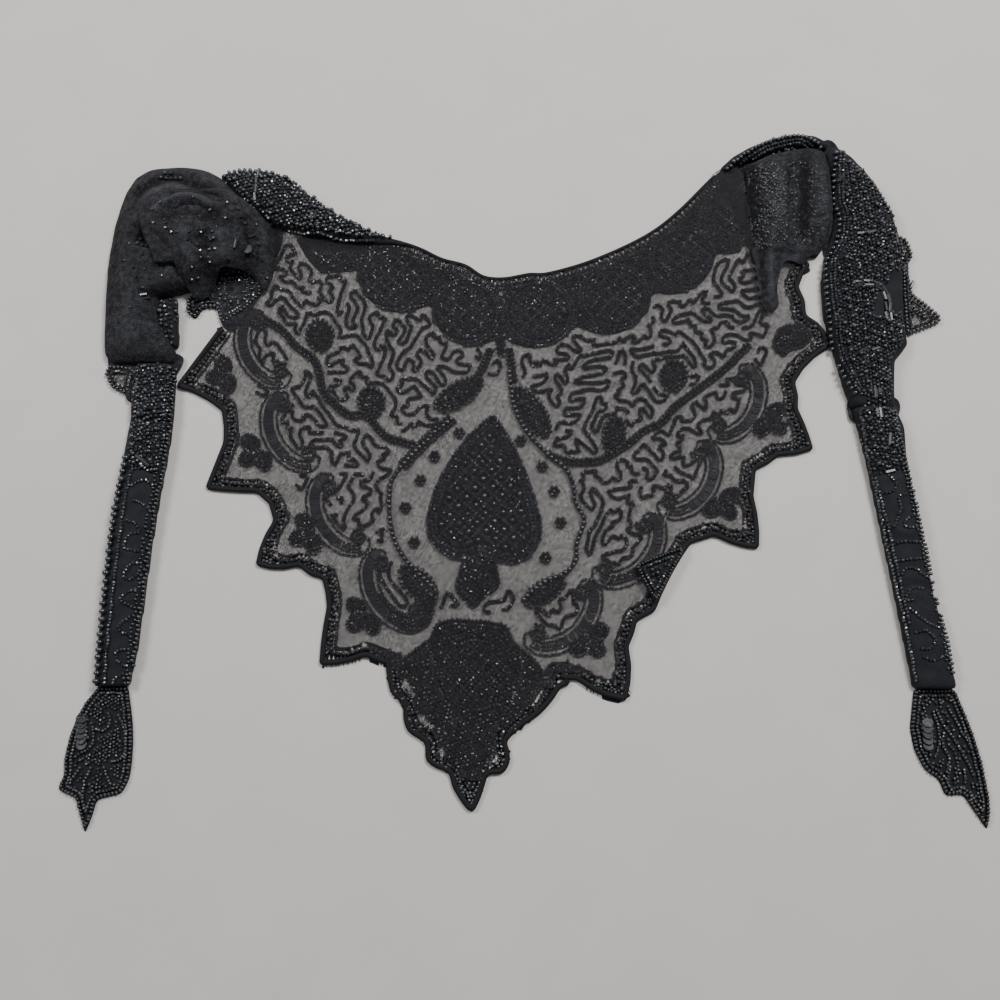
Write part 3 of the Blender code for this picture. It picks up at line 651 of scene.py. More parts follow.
@dataclass(frozen=True)
class SequinFilm:
    """Sequins punched from glossy black plastic film: flat mirrors, black or white by their tilt."""

    name: str = "sequin_film"
    low: str = "#0A0B10"
    high: str = "#12151C"
    roughness: float = 0.32

    def material(self) -> bpy.types.Material:
        """Colour by each sequin's own tone, with faint cloudy wear in the gloss."""
        film = Surface(self.name, {"IOR": 1.42})
        tone = film.add("Attribute", {}, "Fac", attribute_name="tone")
        shades = {"Factor": tone, 6: linear(self.low), 7: linear(self.high)}
        wear = film.add("TexNoise", {"Vector": film.place, "Scale": 600.0, "Detail": 2.0})
        gloss = film.add("MapRange", {
            "Value": wear, "To Min": self.roughness, "To Max": 2.2 * self.roughness})
        return film.dress(Base_Color=film.add("Mix", shades, 2, data_type="RGBA"), Roughness=gloss)


@dataclass(frozen=True)
class WhippedCord:
    """Cotton cord whipped with black thread: fine turns across it, matt; their backs are painted lighter as a
    dull sheen and the grooves between them darker as painted shade.
    """

    name: str = "whipped_cord"
    turn: float = 0.8
    low: str = "#0A0A0C"
    high: str = "#1D1D20"

    def material(self) -> bpy.types.Material:
        """Turns of thread by the length along the cord; 0.8 mm is twice the real turn, so that it shows."""
        cord = Surface(self.name, {"Roughness": 0.75, "Specular IOR Level": 0.2})
        run = cord.add("Attribute", {}, "Fac", attribute_name="run")
        fray = cord.add("TexNoise", {"Vector": cord.place, "Scale": 900.0, "Detail": 2.0})
        phase = cord.add("Math", {0: run, 1: 2 * np.pi / self.turn}, operation="MULTIPLY")
        sway = cord.add("Math", {0: fray, 1: 2.5, 2: phase}, operation="MULTIPLY_ADD")
        wave = cord.add("Math", {0: sway}, operation="SINE")
        height = cord.add("MapRange", {"Value": wave, "From Min": -1.0})
        # Painted sheen and shade: the colour follows the turns' height, lighter on their backs, darker
        # between them.
        shades = {"Factor": height, 6: linear(self.low), 7: linear(self.high)}
        raised = cord.add("Bump", {"Height": height, "Strength": 0.5, "Distance": 0.00012})
        return cord.dress(Base_Color=cord.add("Mix", shades, 2, data_type="RGBA"), Normal=raised)


@dataclass(frozen=True)
class Georgette:
    """Crepe georgette under the beads of the wings and ties: a pebbled blue-black cloth, soft and dull."""

    name: str = "georgette"
    thread: float = 0.45
    low: str = "#0E0F12"
    high: str = "#282A31"

    def material(self) -> bpy.types.Material:
        """Crossed threads with a crepe's uneven pebble; the thread is drawn at twice its size, to show."""
        cloth = Surface(self.name, {"Roughness": 0.8, "Specular IOR Level": 0.2, "Sheen Weight": 0.03})
        rate = 1 / (self.thread * MM)
        pebble = cloth.add("TexNoise", {
            "Vector": cloth.place, "Scale": rate / 3, "Detail": 3.0, "Roughness": 0.7})
        grid = cloth.add("TexVoronoi", {"Vector": cloth.place, "Scale": rate, "Randomness": 0.35}, "Distance")
        crepe = cloth.add("Math", {0: pebble, 1: grid}, operation="MULTIPLY")
        shades = {"Factor": crepe, 6: linear(self.low), 7: linear(self.high)}
        raised = cloth.add("Bump", {"Height": crepe, "Strength": 0.4, "Distance": 0.0002})
        return cloth.dress(Base_Color=cloth.add("Mix", shades, 2, data_type="RGBA"), Normal=raised)


@dataclass(frozen=True)
class PaintedBoard:
    """Matt painted board for the stage: pale and plain."""

    name: str = "pale_board"
    low: str = "#BBB7B2"
    high: str = "#C4C0BB"

    def material(self) -> bpy.types.Material:
        """A pale matt ground with a barely visible mottle."""
        board = Surface(self.name, {"Roughness": 0.9})
        mottle = board.add("TexNoise", {"Vector": board.place, "Scale": 30.0, "Detail": 4.0})
        shades = {"Factor": mottle, 6: linear(self.low), 7: linear(self.high)}
        return board.dress(Base_Color=board.add("Mix", shades, 2, data_type="RGBA"))


class Finishes:
    """The collar's materials, each made once."""

    def __init__(self) -> None:
        """Make every material."""
        self.net = NylonNet().material()
        self.layered = LayeredNet().material()
        self.beads = PressedGlass().material()
        self.veiled = PressedGlass("jet_glass_under_net", "#101114", "#25272D", 0.2, 0.5).material()
        self.dark = PressedGlass("jet_glass_in_shade", "#0E0F12", "#1C1D22", 0.4, 0.65).material()
        self.rows = PressedGlass("jet_glass_of_rows", "#1C1E24", "#42454F", 0.16, 0.4).material()
        self.sequins = SequinFilm().material()
        self.veiled_sequins = SequinFilm("sequin_film_under_net", "#101117", "#20232B", 0.3).material()
        self.cord = WhippedCord().material()
        self.cloth = Georgette().material()


# ---------------------------------------------------------------- cloth


def cloth_panel(name: str, cuts: Sequence[Outline], spacing: float, height: Callable[[Array], Array],
                keep: Callable[[Array], Array] | None = None) -> bpy.types.Mesh:
    """Flat cuts of cloth in one mesh: outlines filled with even triangles, each point at its height.

    Args:
        name: The mesh's name.
        cuts: The cuts' outlines, in millimetres.
        spacing: Distance between the points inside.
        height: Gives each point's height, in millimetres.
        keep: Says which places hold cloth; by default all.

    Returns:
        The mesh, in metres, with its face up.
    """
    plans: list[Array] = []
    triangles: list[Array] = []
    for outline in cuts:
        rim = soften(outline.points, 0.3, closed=True, step=min(spacing, 1.0))
        inside = outline.lattice(spacing, 0.6 * spacing)
        flat = [Vector((float(x), float(y))) for x, y in np.vstack([rim, inside])]
        points, _, faces, *_ = delaunay_2d_cdt(flat, [], [list(range(len(rim)))], 1, 1e-4)
        plan, corners = np.array([tuple(p) for p in points]), np.array(faces)
        a, b, c = (plan[corners[:, k]] for k in range(3))
        (ax, ay), (bx, by) = (b - a).T, (c - a).T
        corners = np.where((ax * by > ay * bx)[:, None], corners, corners[:, ::-1])
        if keep is not None:
            corners = corners[keep(plan[corners].mean(axis=1))]
        used, corners = np.unique(corners, return_inverse=True)
        triangles.append(corners.reshape(-1, 3) + sum(len(p) for p in plans))
        plans.append(plan[used])
    plan, corners = np.vstack(plans), np.vstack(triangles)
    places = np.column_stack([plan, height(plan)]) * MM
    return mesh_from_arrays(name, places, corners.ravel(), np.full(len(corners), 3))


def lay(piece: bpy.types.Object) -> None:
    """Work out a flat cloth's box in plan and its faces' areas; nothing further is done with them.
    Declare a cloth that lies flat: its area and its cut's box; cuts far apart are moved together.
    """
    width, length = (float(v) for v in np.ptp(points_of(piece.data)[:, :2], axis=0))
    areas = np.empty(len(piece.data.polygons))
    piece.data.polygons.foreach_get("area", areas)


def ripples(xy: Array, length: float, seed: int) -> Array:
    """Soft uneven ripples between about -1 and 1: a mean of six sine waves in random directions.

    Args:
        xy: Places in plan, in millimetres.
        length: Mean wavelength, in millimetres.
        seed: Chooses the directions.

    Returns:
        One value for each place.
    """
    random = np.random.default_rng(seed)
    angle = random.uniform(0.0, np.pi, 6)
    rate = 2 * np.pi / (length * random.uniform(0.7, 1.4, 6))
    phase = random.uniform(0.0, 2 * np.pi, 6)
    along = xy @ np.vstack([np.cos(angle), np.sin(angle)])
    return np.sin(along * rate + phase).sum(axis=1) / 3.0


class Crease(NamedTuple):
    """A fold line on a skin: how high it stands (negative: a trough), its width and its route in plan."""

    height: float
    width: float
    route: Places


def crease_lift(xy: Array, creases: Sequence[Crease]) -> Array:
    """Height that the creases add at each place.

    A crease adds height x exp(-(distance / width) squared), and fades out over the last quarter of its route.

    Args:
        xy: Places in plan, in millimetres.
        creases: The fold lines.

    Returns:
        The sum over all creases, in millimetres.
    """
    lift = np.zeros(len(xy))
    for crease in creases:
        line = smooth_route(crease.route, 5)
        reach = 3 * crease.width
        near = np.flatnonzero(((xy > line.min(0) - reach) & (xy < line.max(0) + reach)).all(axis=1))
        ends = np.minimum(*(np.linalg.norm(xy[near] - line[k], axis=1) for k in (0, -1)))
        fade = np.clip(ends / (0.22 * run_lengths(line)[-1]), 0.25, 1.0)
        lift[near] += crease.height * fade * np.exp(-((distance_to(xy[near], line) / crease.width) ** 2))
    return lift


def paint_fold_shade(mesh: bpy.types.Mesh, lift: Array) -> None:
    """Give a mesh its fold attribute, the painted shade of its folds: from -1 in a deep trough, painted
    darkest, to 1 on a full ridge, painted lightest.
    """
    fold = mesh.attributes.new("fold", "FLOAT", "POINT")
    fold.data.foreach_set("value", np.clip(lift / FULL_FOLD, -1.0, 1.0).astype(np.float32))


class Ground:
    """Cloth that beads are sewn to, known by its tree of faces in millimetres."""

    tree: BVHTree

    def settle(self, plan: Array, sink: float) -> tuple[Array, Array]:
        """Find where beads lie on the cloth.

        Args:
            plan: Places in plan, in millimetres.
            sink: Height of a bead's middle above the cloth.

        Returns:
            The beads' middles, and which of the places are on the cloth.
        """
        hits = [self.tree.ray_cast((x, y, RAY_TOP), DOWN) for x, y in plan.tolist()]
        on_cloth = np.array([hit[0] is not None and hit[1].z > 0.2 for hit in hits], bool)
        found = [hit for hit, on in zip(hits, on_cloth) if on]
        if not found:
            return np.zeros((0, 3)), on_cloth
        places = np.array([tuple(hit[0]) for hit in found])
        normals = np.array([tuple(hit[1]) for hit in found])
        return places + sink * normals, on_cloth


@dataclass
class Skin(Ground):
    """The cloth round one folded stretch: a thin shell on the CAD solid's own form, with its creases.

    The solid is remeshed into small even faces and smoothed; each upward point is then moved up by the
    creases and by soft ripples. Beads ask it for their height.
    """

    node: str
    creases: tuple[Crease, ...] = ()
    voxel: float = 0.95
    ripple: float = 0.25
    seed: int = 1
    smoothing: int = 6
    wall: float = 0.45
    grow: float = 0.6
    points: Array = field(init=False, repr=False)
    fold: Array = field(init=False, repr=False)
    faces: Array = field(init=False, repr=False)
    tree: BVHTree = field(init=False, repr=False)

    def __post_init__(self) -> None:
        """Work out the skin's points and faces."""
        self.points, self.faces = self._remeshed()
        normal = self._normals()
        up = np.clip(normal[:, 2], 0.0, 1.0)
        plan = self.points[:, :2]
        creased = crease_lift(plan, self.creases)
        lift = creased + self.ripple * ripples(plan, 9.0, self.seed)
        # The creases' lift, kept as the fold attribute: painted shade in the material's colour.
        self.fold = up * creased
        self.points += self.grow * normal
        self.points[:, 2] += up * lift
        self.points[:, 2] = np.maximum(self.points[:, 2], 0.0)
        self.tree = BVHTree.FromPolygons(self.points.tolist(), self.faces.tolist())

    def _remeshed(self) -> tuple[Array, Array]:
        """The CAD solid as small even quads, in millimetres."""
        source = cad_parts[self.node]
        ghost = into_scene("ghost", source.data.copy())
        weld = ghost.modifiers.new("weld", "WELD")
        weld.merge_threshold = 0.01 * MM
        remesh = ghost.modifiers.new("even", "REMESH")
        remesh.mode = "VOXEL"
        remesh.voxel_size = self.voxel * MM
        smooth = ghost.modifiers.new("soft", "SMOOTH")
        smooth.factor = 0.5
        smooth.iterations = self.smoothing
        bpy.context.view_layer.update()
        mesh = bpy.data.meshes.new_from_object(ghost.evaluated_get(bpy.context.evaluated_depsgraph_get()))
        bpy.data.objects.remove(ghost)
        points, faces = points_of(mesh) / MM, corners_of(mesh).reshape(-1, 4)
        bpy.data.meshes.remove(mesh)
        return points, faces

    def _normals(self) -> Array:
        """Unit normal at each point: the mean of its faces' area vectors."""
        a, b, c, d = (self.points[self.faces[:, k]] for k in range(4))
        area = np.cross(c - a, d - b)
        normal = np.zeros_like(self.points)
        for k in range(4):
            np.add.at(normal, self.faces[:, k], area)
        return unit(normal)

    def area(self) -> float:
        """Area all round, in square metres."""
        a, b, c, d = (self.points[self.faces[:, k]] for k in range(4))
        return 0.5 * float(np.linalg.norm(np.cross(c - a, d - b), axis=1).sum()) * MM**2

    def piece(self, name: str, material: bpy.types.Material, slot: Slot) -> bpy.types.Object:
        """Show the skin as a thin wall that stands for its solid."""
        corners = self.faces.ravel()
        mesh = mesh_from_arrays(name, self.points * MM, corners, np.full(len(self.faces), 4))
        paint_fold_shade(mesh, self.fold)
        piece = show(mesh, material, slot, self.node)
        wall = piece.modifiers.new("wall", "SOLIDIFY")
        wall.thickness = self.wall * MM
        wall.offset = -1.0
        return piece


# ---------------------------------------------------------------- beading


@dataclass(frozen=True)
class Level:
    """Level ground for beads: the surface under the bib, or a flat stretch of net."""

    height: float = 0.0

    def settle(self, plan: Array, sink: float) -> tuple[Array, Array]:
        """Find where beads lie on the ground.

        Args:
            plan: Places in plan, in millimetres.
            sink: Height of a bead's middle above the ground.

        Returns:
            The beads' middles, and that all of the places are on the ground.
        """
        return np.column_stack([plan, np.full(len(plan), self.height + sink)]), np.ones(len(plan), bool)


class Beading(MeshParts):
    """Beads sewn onto one ground: threaded lines, fills, knobbly edges, bugles and sequins."""

    def __init__(self, seed: int, ground: Level | Ground = Level(), seat: float = 0.5) -> None:
        """Start on a ground; seat is the height of a bead's middle above it, as a share of its diameter."""
        super().__init__(seed)
        self.ground = ground
        self.seat = seat

    def place(self, plan: Array, ahead: Array, size: float, cut: Cut = Cut.SEED, length: float = 0.0) -> None:
        """Sew beads on at given places, with their holes along given directions in plan."""
        places, kept = self.ground.settle(plan, self.seat * size)
        axes = np.column_stack([ahead[kept], np.zeros(kept.sum())])
        self.beads(cut, places, axes, length or 0.88 * size, size)

    def thread(self, line: Route, size: float, pitch: float = 0.0, cut: Cut = Cut.SEED,
               slack: float = 0.1) -> None:
        """Sew a threaded line of beads.

        Args:
            line: The thread's points in plan, in millimetres.
            size: Bead diameter.
            pitch: Distance from bead to bead; by default the beads touch.
            cut: The beads' cut.
            slack: Spread of the beads off the line.
        """
        plan, ahead = spaced(np.asarray(line, float), pitch or 0.94 * size)
        self.place(plan + self.random.normal(0.0, slack, plan.shape), ahead, size, cut)

    def curve(self, points: Route, size: float, pitch: float = 0.0, cut: Cut = Cut.SEED,
              twin: float = 0.0) -> None:
        """Sew a smooth line through given points, or two lines side by side.

        Args:
            points: The route in plan, in millimetres.
            size: Bead diameter.
            pitch: Distance from bead to bead; by default the beads touch.
            cut: The beads' cut.
            twin: Distance between two lines; 0 for one.
        """
        line = smooth_route(points)
        side = leftward(unit(np.gradient(line, axis=0)))
        for k, shift in enumerate((0.5 * twin, -0.5 * twin) if twin else (0.0,)):
            self.thread(line[k:] + shift * side[k:], size, (1.0 - 0.07 * k) * (pitch or 0.94 * size), cut)

    def scatter(self, plan: Array, size: float, cut: Cut = Cut.SEED) -> None:
        """Sew single beads on at given places, each with its hole in a direction of its own."""
        angle = self.random.uniform(0.0, 2 * np.pi, len(plan))
        self.place(plan, toward(angle), size, cut)

    def fill(self, region: Outline, size: float, margin: float, pitch: float = 0.0, large: float = 0.0,
             keep: Callable[[Array], Array] | None = None) -> None:
        """Fill a region with close-set beads.

        Args:
            region: The region's outline.
            size: Bead diameter.
            margin: Depth inside the outline at which the beads' middles start.
            pitch: Distance from bead to bead; by default they nearly touch.
            large: Share of beads that are half as large again.
            keep: Says which places are beaded; by default all.
        """
        pitch = pitch or 1.05 * size
        places = region.lattice(pitch, margin, float(self.random.uniform(0.0, 60.0)))
        places = places + self.random.uniform(-0.18, 0.18, places.shape) * pitch
        if keep is not None:
            places = places[keep(places)]
        big = self.random.uniform(0.0, 1.0, len(places)) < large
        self.scatter(places[~big], size)
        self.scatter(places[big], 1.45 * size, Cut.ROUND)

    def knobs(self, points: Route, size: float, pitch: float, spread: float) -> None:
        """Sew a knobbly row of large beads that stand off their line by a random amount."""
        plan, ahead = spaced(smooth_route(points), 0.8 * pitch)
        off = 0.6 * self.random.uniform(-spread, spread, (len(plan), 1))
        self.place(plan + off * leftward(ahead), ahead, size, Cut.ROUND)

    def bugles(self, rows: Route, length: float = 4.0, size: float = 1.6) -> None:
        """Sew single bugles: each row is a middle in plan and a direction in degrees."""
        table = np.asarray(rows, float)
        self.place(table[:, :2], toward(np.radians(table[:, 2])), size, Cut.BUGLE, length)

    def bugle_arc(self, points: Route, length: float = 4.0) -> None:
        """Sew bugles end to end along a smooth line."""
        plan, ahead = spaced(smooth_route(points), length + 0.3)
        self.place(plan, ahead, 1.6, Cut.BUGLE, length)

    def lattice(self, region: Outline, spacing: float, turn: float, margin: float, size: float,
                knots: float = 0.0) -> None:
        """Sew two sets of parallel lines across a region, with a larger bead in each cell.

        Args:
            region: The region's outline.
            spacing: Distance from line to line.
            turn: Direction of the first set, in degrees; the second crosses it at right angles.
            margin: Depth inside the outline at which the lines stop.
            size: Diameter of the lines' beads.
            knots: Diameter of the bead in each cell; 0 for none.
        """
        for degrees in (turn, turn + 90.0):
            for line in hatch(region, spacing, degrees, margin):
                self.thread(line, size, slack=0.06)
        if knots:
            half = np.arange(-60, 61) + 0.5
            i, j = np.meshgrid(half, half, indexing="ij")
            cells = turned(spacing * np.column_stack([i.ravel(), j.ravel()]), turn) + region.centre
            cells = cells[np.linalg.norm(cells - region.centre, axis=1) < np.ptp(region.points, axis=0).max()]
            self.scatter(cells[region.depth(cells) > margin + 0.3], knots, Cut.ROUND)

    def sequins(self, line: Array, size: float, pitch: float, lean: float, rise: float = 0.0) -> None:
        """Lay overlapping sequins along a line, each leaning back on the one before.

        Args:
            line: The line in plan, in millimetres.
            size: Sequin diameter.
            pitch: Distance from sequin to sequin.
            lean: Degrees that each leans from lying flat.
            rise: Height of the middles above the ground, beyond what the lean needs.
        """
        plan, ahead = spaced(line, pitch)
        angle = np.radians(lean + self.random.normal(0.0, 3.0, len(plan)))
        level = 0.5 * size * np.sin(np.abs(angle)).mean() + 0.2 + rise
        places, kept = self.ground.settle(plan, level)
        tilt = angle[kept, None]
        axes = np.column_stack([-ahead[kept] * np.sin(tilt), np.cos(tilt)])
        self.beads(Cut.SEQUIN, places, axes, 0.35, size, uneven=0.02)


def stretches(line: Array, free: Array) -> list[Array]:
    """The stretches of a line where all points are free, without the shortest."""
    cuts = np.flatnonzero(np.diff(free.astype(int))) + 1
    parts = zip(np.split(line, cuts), np.split(free, cuts))
    return [part for part, flags in parts if flags[0] and len(part) > 3]


def hatch(region: Outline, spacing: float, degrees: float, margin: float) -> list[Array]:
    """Parallel lines across a region, cut off at a margin inside its outline.

    Args:
        region: The region's outline.
        spacing: Distance from line to line, in millimetres.
        degrees: Their direction.
        margin: Depth at which they stop.

    Returns:
        The lines that are left.
    """
    half = 0.75 * float(np.ptp(region.points, axis=0).max())
    along = np.arange(-half, half, 0.4)
    lines: list[Array] = []
    for offset in spacing * np.arange(-int(half / spacing), int(half / spacing) + 1):
        line = turned(np.column_stack([along, np.full(len(along), offset)]), degrees) + region.centre
        lines += stretches(line, region.depth(line) > margin)
    return lines


def round_outline(x: float, y: float, radius: float) -> Outline:
    """A circle as an outline."""
    angle = np.radians(np.arange(0.0, 360.0, 9.0))
    return Outline([x, y] + radius * toward(angle))


@dataclass
class Field:
    """Where loose bead lines may run: inside one outline, clear of motifs and of lines."""

    edge: Outline
    motifs: list[tuple[Outline, float]]
    lines: list[tuple[Array, float]]

    def contains(self, xy: Array) -> Array:
        """Whether each place is free."""
        free = self.edge.contains(xy)
        for outline, clear in self.motifs:
            free[free] = outline.depth(xy[free]) < -clear
        for line, clear in self.lines:
            free[free] = distance_to(xy[free], line) > clear
        return free


@dataclass
class Vermicelli:
    """Bead lines that wander over a field without crossing, as vermicelli stitching does.

    Each pass lays a warped and jittered lattice over the field, grows closed walks over its free places,
    opens them here and there, and rounds their corners.
    """

    spacing: float = 3.8
    warp: float = 0.7
    wave: float = 26.0
    jitter: float = 0.1
    cut_share: float = 0.02
    passes: tuple[float, ...] = (8.0, 38.0, 22.0)
    clearance: float = 0.76
    wiggle: float = 0.2

    def lines(self, field_: Field, random: np.random.Generator) -> list[Array]:
        """Lay the lines over a field.

        Args:
            field_: Where they may run.
            random: The random source.

        Returns:
            The lines, in millimetres.
        """
        done: list[Array] = []
        for turn in self.passes:
            clear = [(line[::2], self.clearance * self.spacing) for line in done]
            done += self._one_pass(Field(field_.edge, field_.motifs, field_.lines + clear), turn, random)
        return done

    def _one_pass(self, field_: Field, turn: float, random: np.random.Generator) -> list[Array]:
        """One lattice's lines: its places are warped by sine waves and jittered before the field is asked."""
        side = 2 * int(1.1 * float(np.ptp(field_.edge.points, axis=0).max()) / self.spacing) + 2
        i, j = np.meshgrid(np.arange(side) - side // 2, np.arange(side) - side // 2, indexing="ij")
        grid = self.spacing * np.column_stack([(i + 0.5 * j).ravel(), np.sqrt(0.75) * j.ravel()])
        places = turned(grid + random.uniform(0, self.spacing, 2), turn)
        bend = np.column_stack([ripples(places, self.wave, int(random.integers(1e6))) for _ in range(2)])
        places = places + self.warp * bend + random.normal(0.0, self.jitter * self.spacing, places.shape)
        places = places + field_.edge.centre
        bends = [int(random.integers(1e6)) for _ in range(2)]
        found: list[Array] = []
        for walk in meander(field_.contains(places).reshape(side, side), random):
            index = np.array(walk)
            points = places[index[:, 0] * side + index[:, 1]]
            cuts = np.flatnonzero(random.uniform(size=len(points)) < self.cut_share)
            cuts = cuts if len(cuts) or len(points) > 9 else np.array([0])
            if not len(cuts):
                found.append(np.vstack([points, points[:1]]))
                continue
            points = np.roll(points, -int(cuts[0]), axis=0)
            found += [part for part in np.split(points, cuts[1:] - cuts[0]) if len(part) > 2]
        lines = [rounded_corners(part) for part in found]
        return [line + self.wiggle * np.column_stack([ripples(line, 9.0, k) for k in bends])
                for line in lines]


def meander(free: Array, random: np.random.Generator) -> list[list[tuple[int, int]]]:
    """Grow closed walks over a triangular lattice: triangles whose sides bulge while there is room.

    Lattice place (q, r) lies at q steps east and r steps 60 degrees north of east. A side from a to b, with
    step (q, r), becomes a, p, b, where p = a + (q + r, -q) is the free place that makes a triangle outside
    it.

    Args:
        free: Which lattice places may be walked, as a table of yes and no.
        random: The random source.

    Returns:
        The walks, each a list of lattice indices.
    """
    room = {(int(a), int(b)) for a, b in np.argwhere(free)}
    starts = sorted(room)
    walks: list[list[tuple[int, int]]] = []
    for k in random.permutation(len(starts)):
        x, y = starts[k]
        triangle = [(x, y), (x + 1, y), (x, y + 1)]
        if not room.issuperset(triangle):
            continue
        room.difference_update(triangle)
        following = dict(zip(triangle, triangle[1:] + triangle[:1]))
        sides = list(following.items())
        while sides:
            a, b = sides.pop(int(random.integers(len(sides))))
            q, r = b[0] - a[0], b[1] - a[1]
            p = (a[0] + q + r, a[1] - q)
            if p in room:
                room.remove(p)
                following.update({a: p, p: b})
                sides += [(a, p), (p, b)]
        walk = [triangle[0]]
        while following[walk[-1]] != walk[0]:
            walk.append(following[walk[-1]])
        walks.append(walk)
    return [walk for walk in walks if len(walk) > 3]


def rounded_corners(points: Array) -> Array:
    """Round a line by cutting each corner at a quarter and three quarters of its sides, three times."""
    for _ in range(3):
        first = 0.75 * points[:-1] + 0.25 * points[1:]
        second = 0.25 * points[:-1] + 0.75 * points[1:]
        middle = np.stack([first, second], axis=1).reshape(-1, 2)
        points = np.vstack([points[:1], middle, points[-1:]])
    return points


# ---------------------------------------------------------------- the bib, face down

BIB_TURN = 3.4
NECK_ROUTE = (
    (-60.0, 102.0), (-54.5, 100.6), (-49.5, 99.0), (-44.0, 96.6), (-36.0, 92.4), (-25.5, 89.3), (-17.5, 83.9),
    (-8.0, 83.0), (3.0, 85.1), (11.0, 85.4), (28.0, 90.4), (46.0, 98.4), (60.0, 106.6), (72.0, 116.8),
    (84.0, 129.4), (88.5, 134.0))
OVAL_LEFT = (
    (-30, 18), (-38, 11), (-43, 6), (-52, -4), (-56, -10), (-57, -18), (-56.5, -26), (-55, -34), (-52, -41),
    (-47, -47), (-41, -53), (-36, -58))
OVAL_RIGHT = (
    (-6, 40), (-5, 30), (-4, 24), (0, 14), (6, 6), (12, 0), (18, -5), (21, -12), (22, -20), (25.5, -27),
    (24, -33), (22, -38), (21.5, -45), (17, -50), (10, -53), (3, -58), (-1, -62))
OVAL_DOTS = (
    (-27.5, 11), (-38, 0.5), (-44, -10), (-50, -22), (-46, -37), (-1, 7.5), (8, -4), (13, -15), (15.5, -28.5),
    (9, -43.5))
SWAG_LEFT = (
    (-118, 66), (-106, 58), (-100, 51), (-92, 45), (-89, 38), (-87, 30), (-82, 24), (-75, 19), (-68, 19),
    (-60, 10), (-52, 7), (-45, 5))
SWAG_RIGHT = (
    (100, 52), (88, 40), (75, 30), (65, 22), (60, 16), (52, 12), (45, 6), (33, -1), (24, -2), (16, -1),
    (10, 2))
SWAG_STEMS = (((-14, 50), (-17, 42), (-20, 36)), ((-6, 50), (-5, 42), (-4, 34)))
FIELD_EDGE = (
    (-113, 102), (-122, 70), (-121.4, 46), (-107.6, 7.6), (-85.4, -29.4), (-61, -62.4), (-36, -66), (-2, -68),
    (22.2, -74.6), (50.6, -46.4), (78, -14.6), (100.2, 20.4), (110, 60), (107, 92), (90, 108), (40, 80),
    (0, 70), (-40, 80), (-60, 98), (-98, 101))


class Motif(NamedTuple):
    """A motif's place: x, y and direction in degrees."""

    x: float
    y: float
    turn: float


SCROLLS = {
    "scroll_left_1": Motif(-121.4, 46, 26), "scroll_left_2": Motif(-107.6, 7.6, 28),
    "scroll_left_3": Motif(-85.4, -29.4, 31), "scroll_left_4": Motif(-61, -62.4, 35),
    "scroll_right_1": Motif(100.2, 20.4, 152), "scroll_right_2": Motif(78, -14.6, 146),
    "scroll_right_3": Motif(50.6, -46.4, 136), "scroll_right_4": Motif(22.2, -74.6, 133)}
TREFOILS = {
    "trefoil_left_1": Motif(-130.6, 37.8, 196), "trefoil_left_2": Motif(-114.8, 2.2, 216),
    "trefoil_left_3": Motif(-91, -33.2, 205), "trefoil_left_4": Motif(-66.6, -68, 222),
    "trefoil_right_1": Motif(106.8, 16.8, 318), "trefoil_right_2": Motif(84.4, -20, 304),
    "trefoil_right_4": Motif(27.0, -77.8, 308)}
LENSES = (
    "leaf_left", "leaf_right", "oval_left", "oval_right", "rosette_left_1", "rosette_left_2",
    "rosette_right_1", "rosette_right_2")

MEDALLION = (
    (-38.5, -76), (-37, -71), (-32, -69), (-26.8, -68.6), (-21, -69), (-15, -69.4), (-8.4, -70.7),
    (-5.8, -73), (-4.5, -76.9), (-0.6, -80.8), (5.3, -86), (8.2, -91.1), (7.1, -96.2), (4.5, -101.3),
    (1.9, -105.1), (0.6, -108.9), (-4.6, -113.9), (-7.1, -117.6), (-6.5, -124.4), (-11, -130), (-16, -132.4),
    (-21.1, -141), (-27.4, -133.6), (-31.9, -129.4), (-38.4, -125.1), (-39.7, -118.9), (-45.6, -113.9),
    (-48.3, -106.4), (-53, -99.4), (-54.5, -93.7), (-53.6, -87.3), (-47.5, -82.7))
MEDALLION_WINDOWS = (
    ((-50.5, -94.3), (-47.6, -93.7), (-44.6, -99.4), (-45.2, -101.9), (-49.1, -98.8)),
    ((-44.1, -107.6), (-41.2, -107), (-36.6, -112.6), (-37.2, -114.5), (-41.1, -112.6)),
    ((-35.2, -120.7), (-32.7, -120.1), (-32, -125.1), (-34.5, -124.4)),
    ((-13.5, -123.2), (-10.3, -122), (-10.7, -126.3), (-14.8, -126.3)),
    ((6.5, -94.3), (8.4, -93), (8, -98.8), (2.5, -104.8), (1.9, -102.6)))
FOOT = (
    (-18.5, -41.5), (-26, -45), (-27.5, -49.7), (-28.9, -53.8), (-28.2, -58.4), (-25.5, -61.1),
    (-22.9, -64.4), (-20.9, -65.2), (-18.3, -63.1), (-15, -59.4), (-11, -57.1), (-9.7, -53.8), (-11, -49.1),
    (-11.5, -45))
OVAL_BLOB = (
    (-48.6, -47), (-42.2, -51.1), (-35.5, -58.4), (-37, -64.4), (-38.6, -71), (-43.8, -74.2), (-50.3, -73.6),
    (-57, -68.3), (-61.2, -61.7), (-60, -58.4), (-54.5, -64.4), (-48.2, -67.7), (-44.6, -65), (-45.4, -58.4),
    (-48.5, -53.1))
CORNER_SPRIG = (
    (112.7, 59.5), (119.1, 61.7), (124.6, 59.5), (126.8, 55), (124.7, 50.5), (119, 49), (114.6, 46),
    (111.2, 47.5), (109.8, 52.7))
BORDERS = ("border_left", "border_pendant", "border_right")
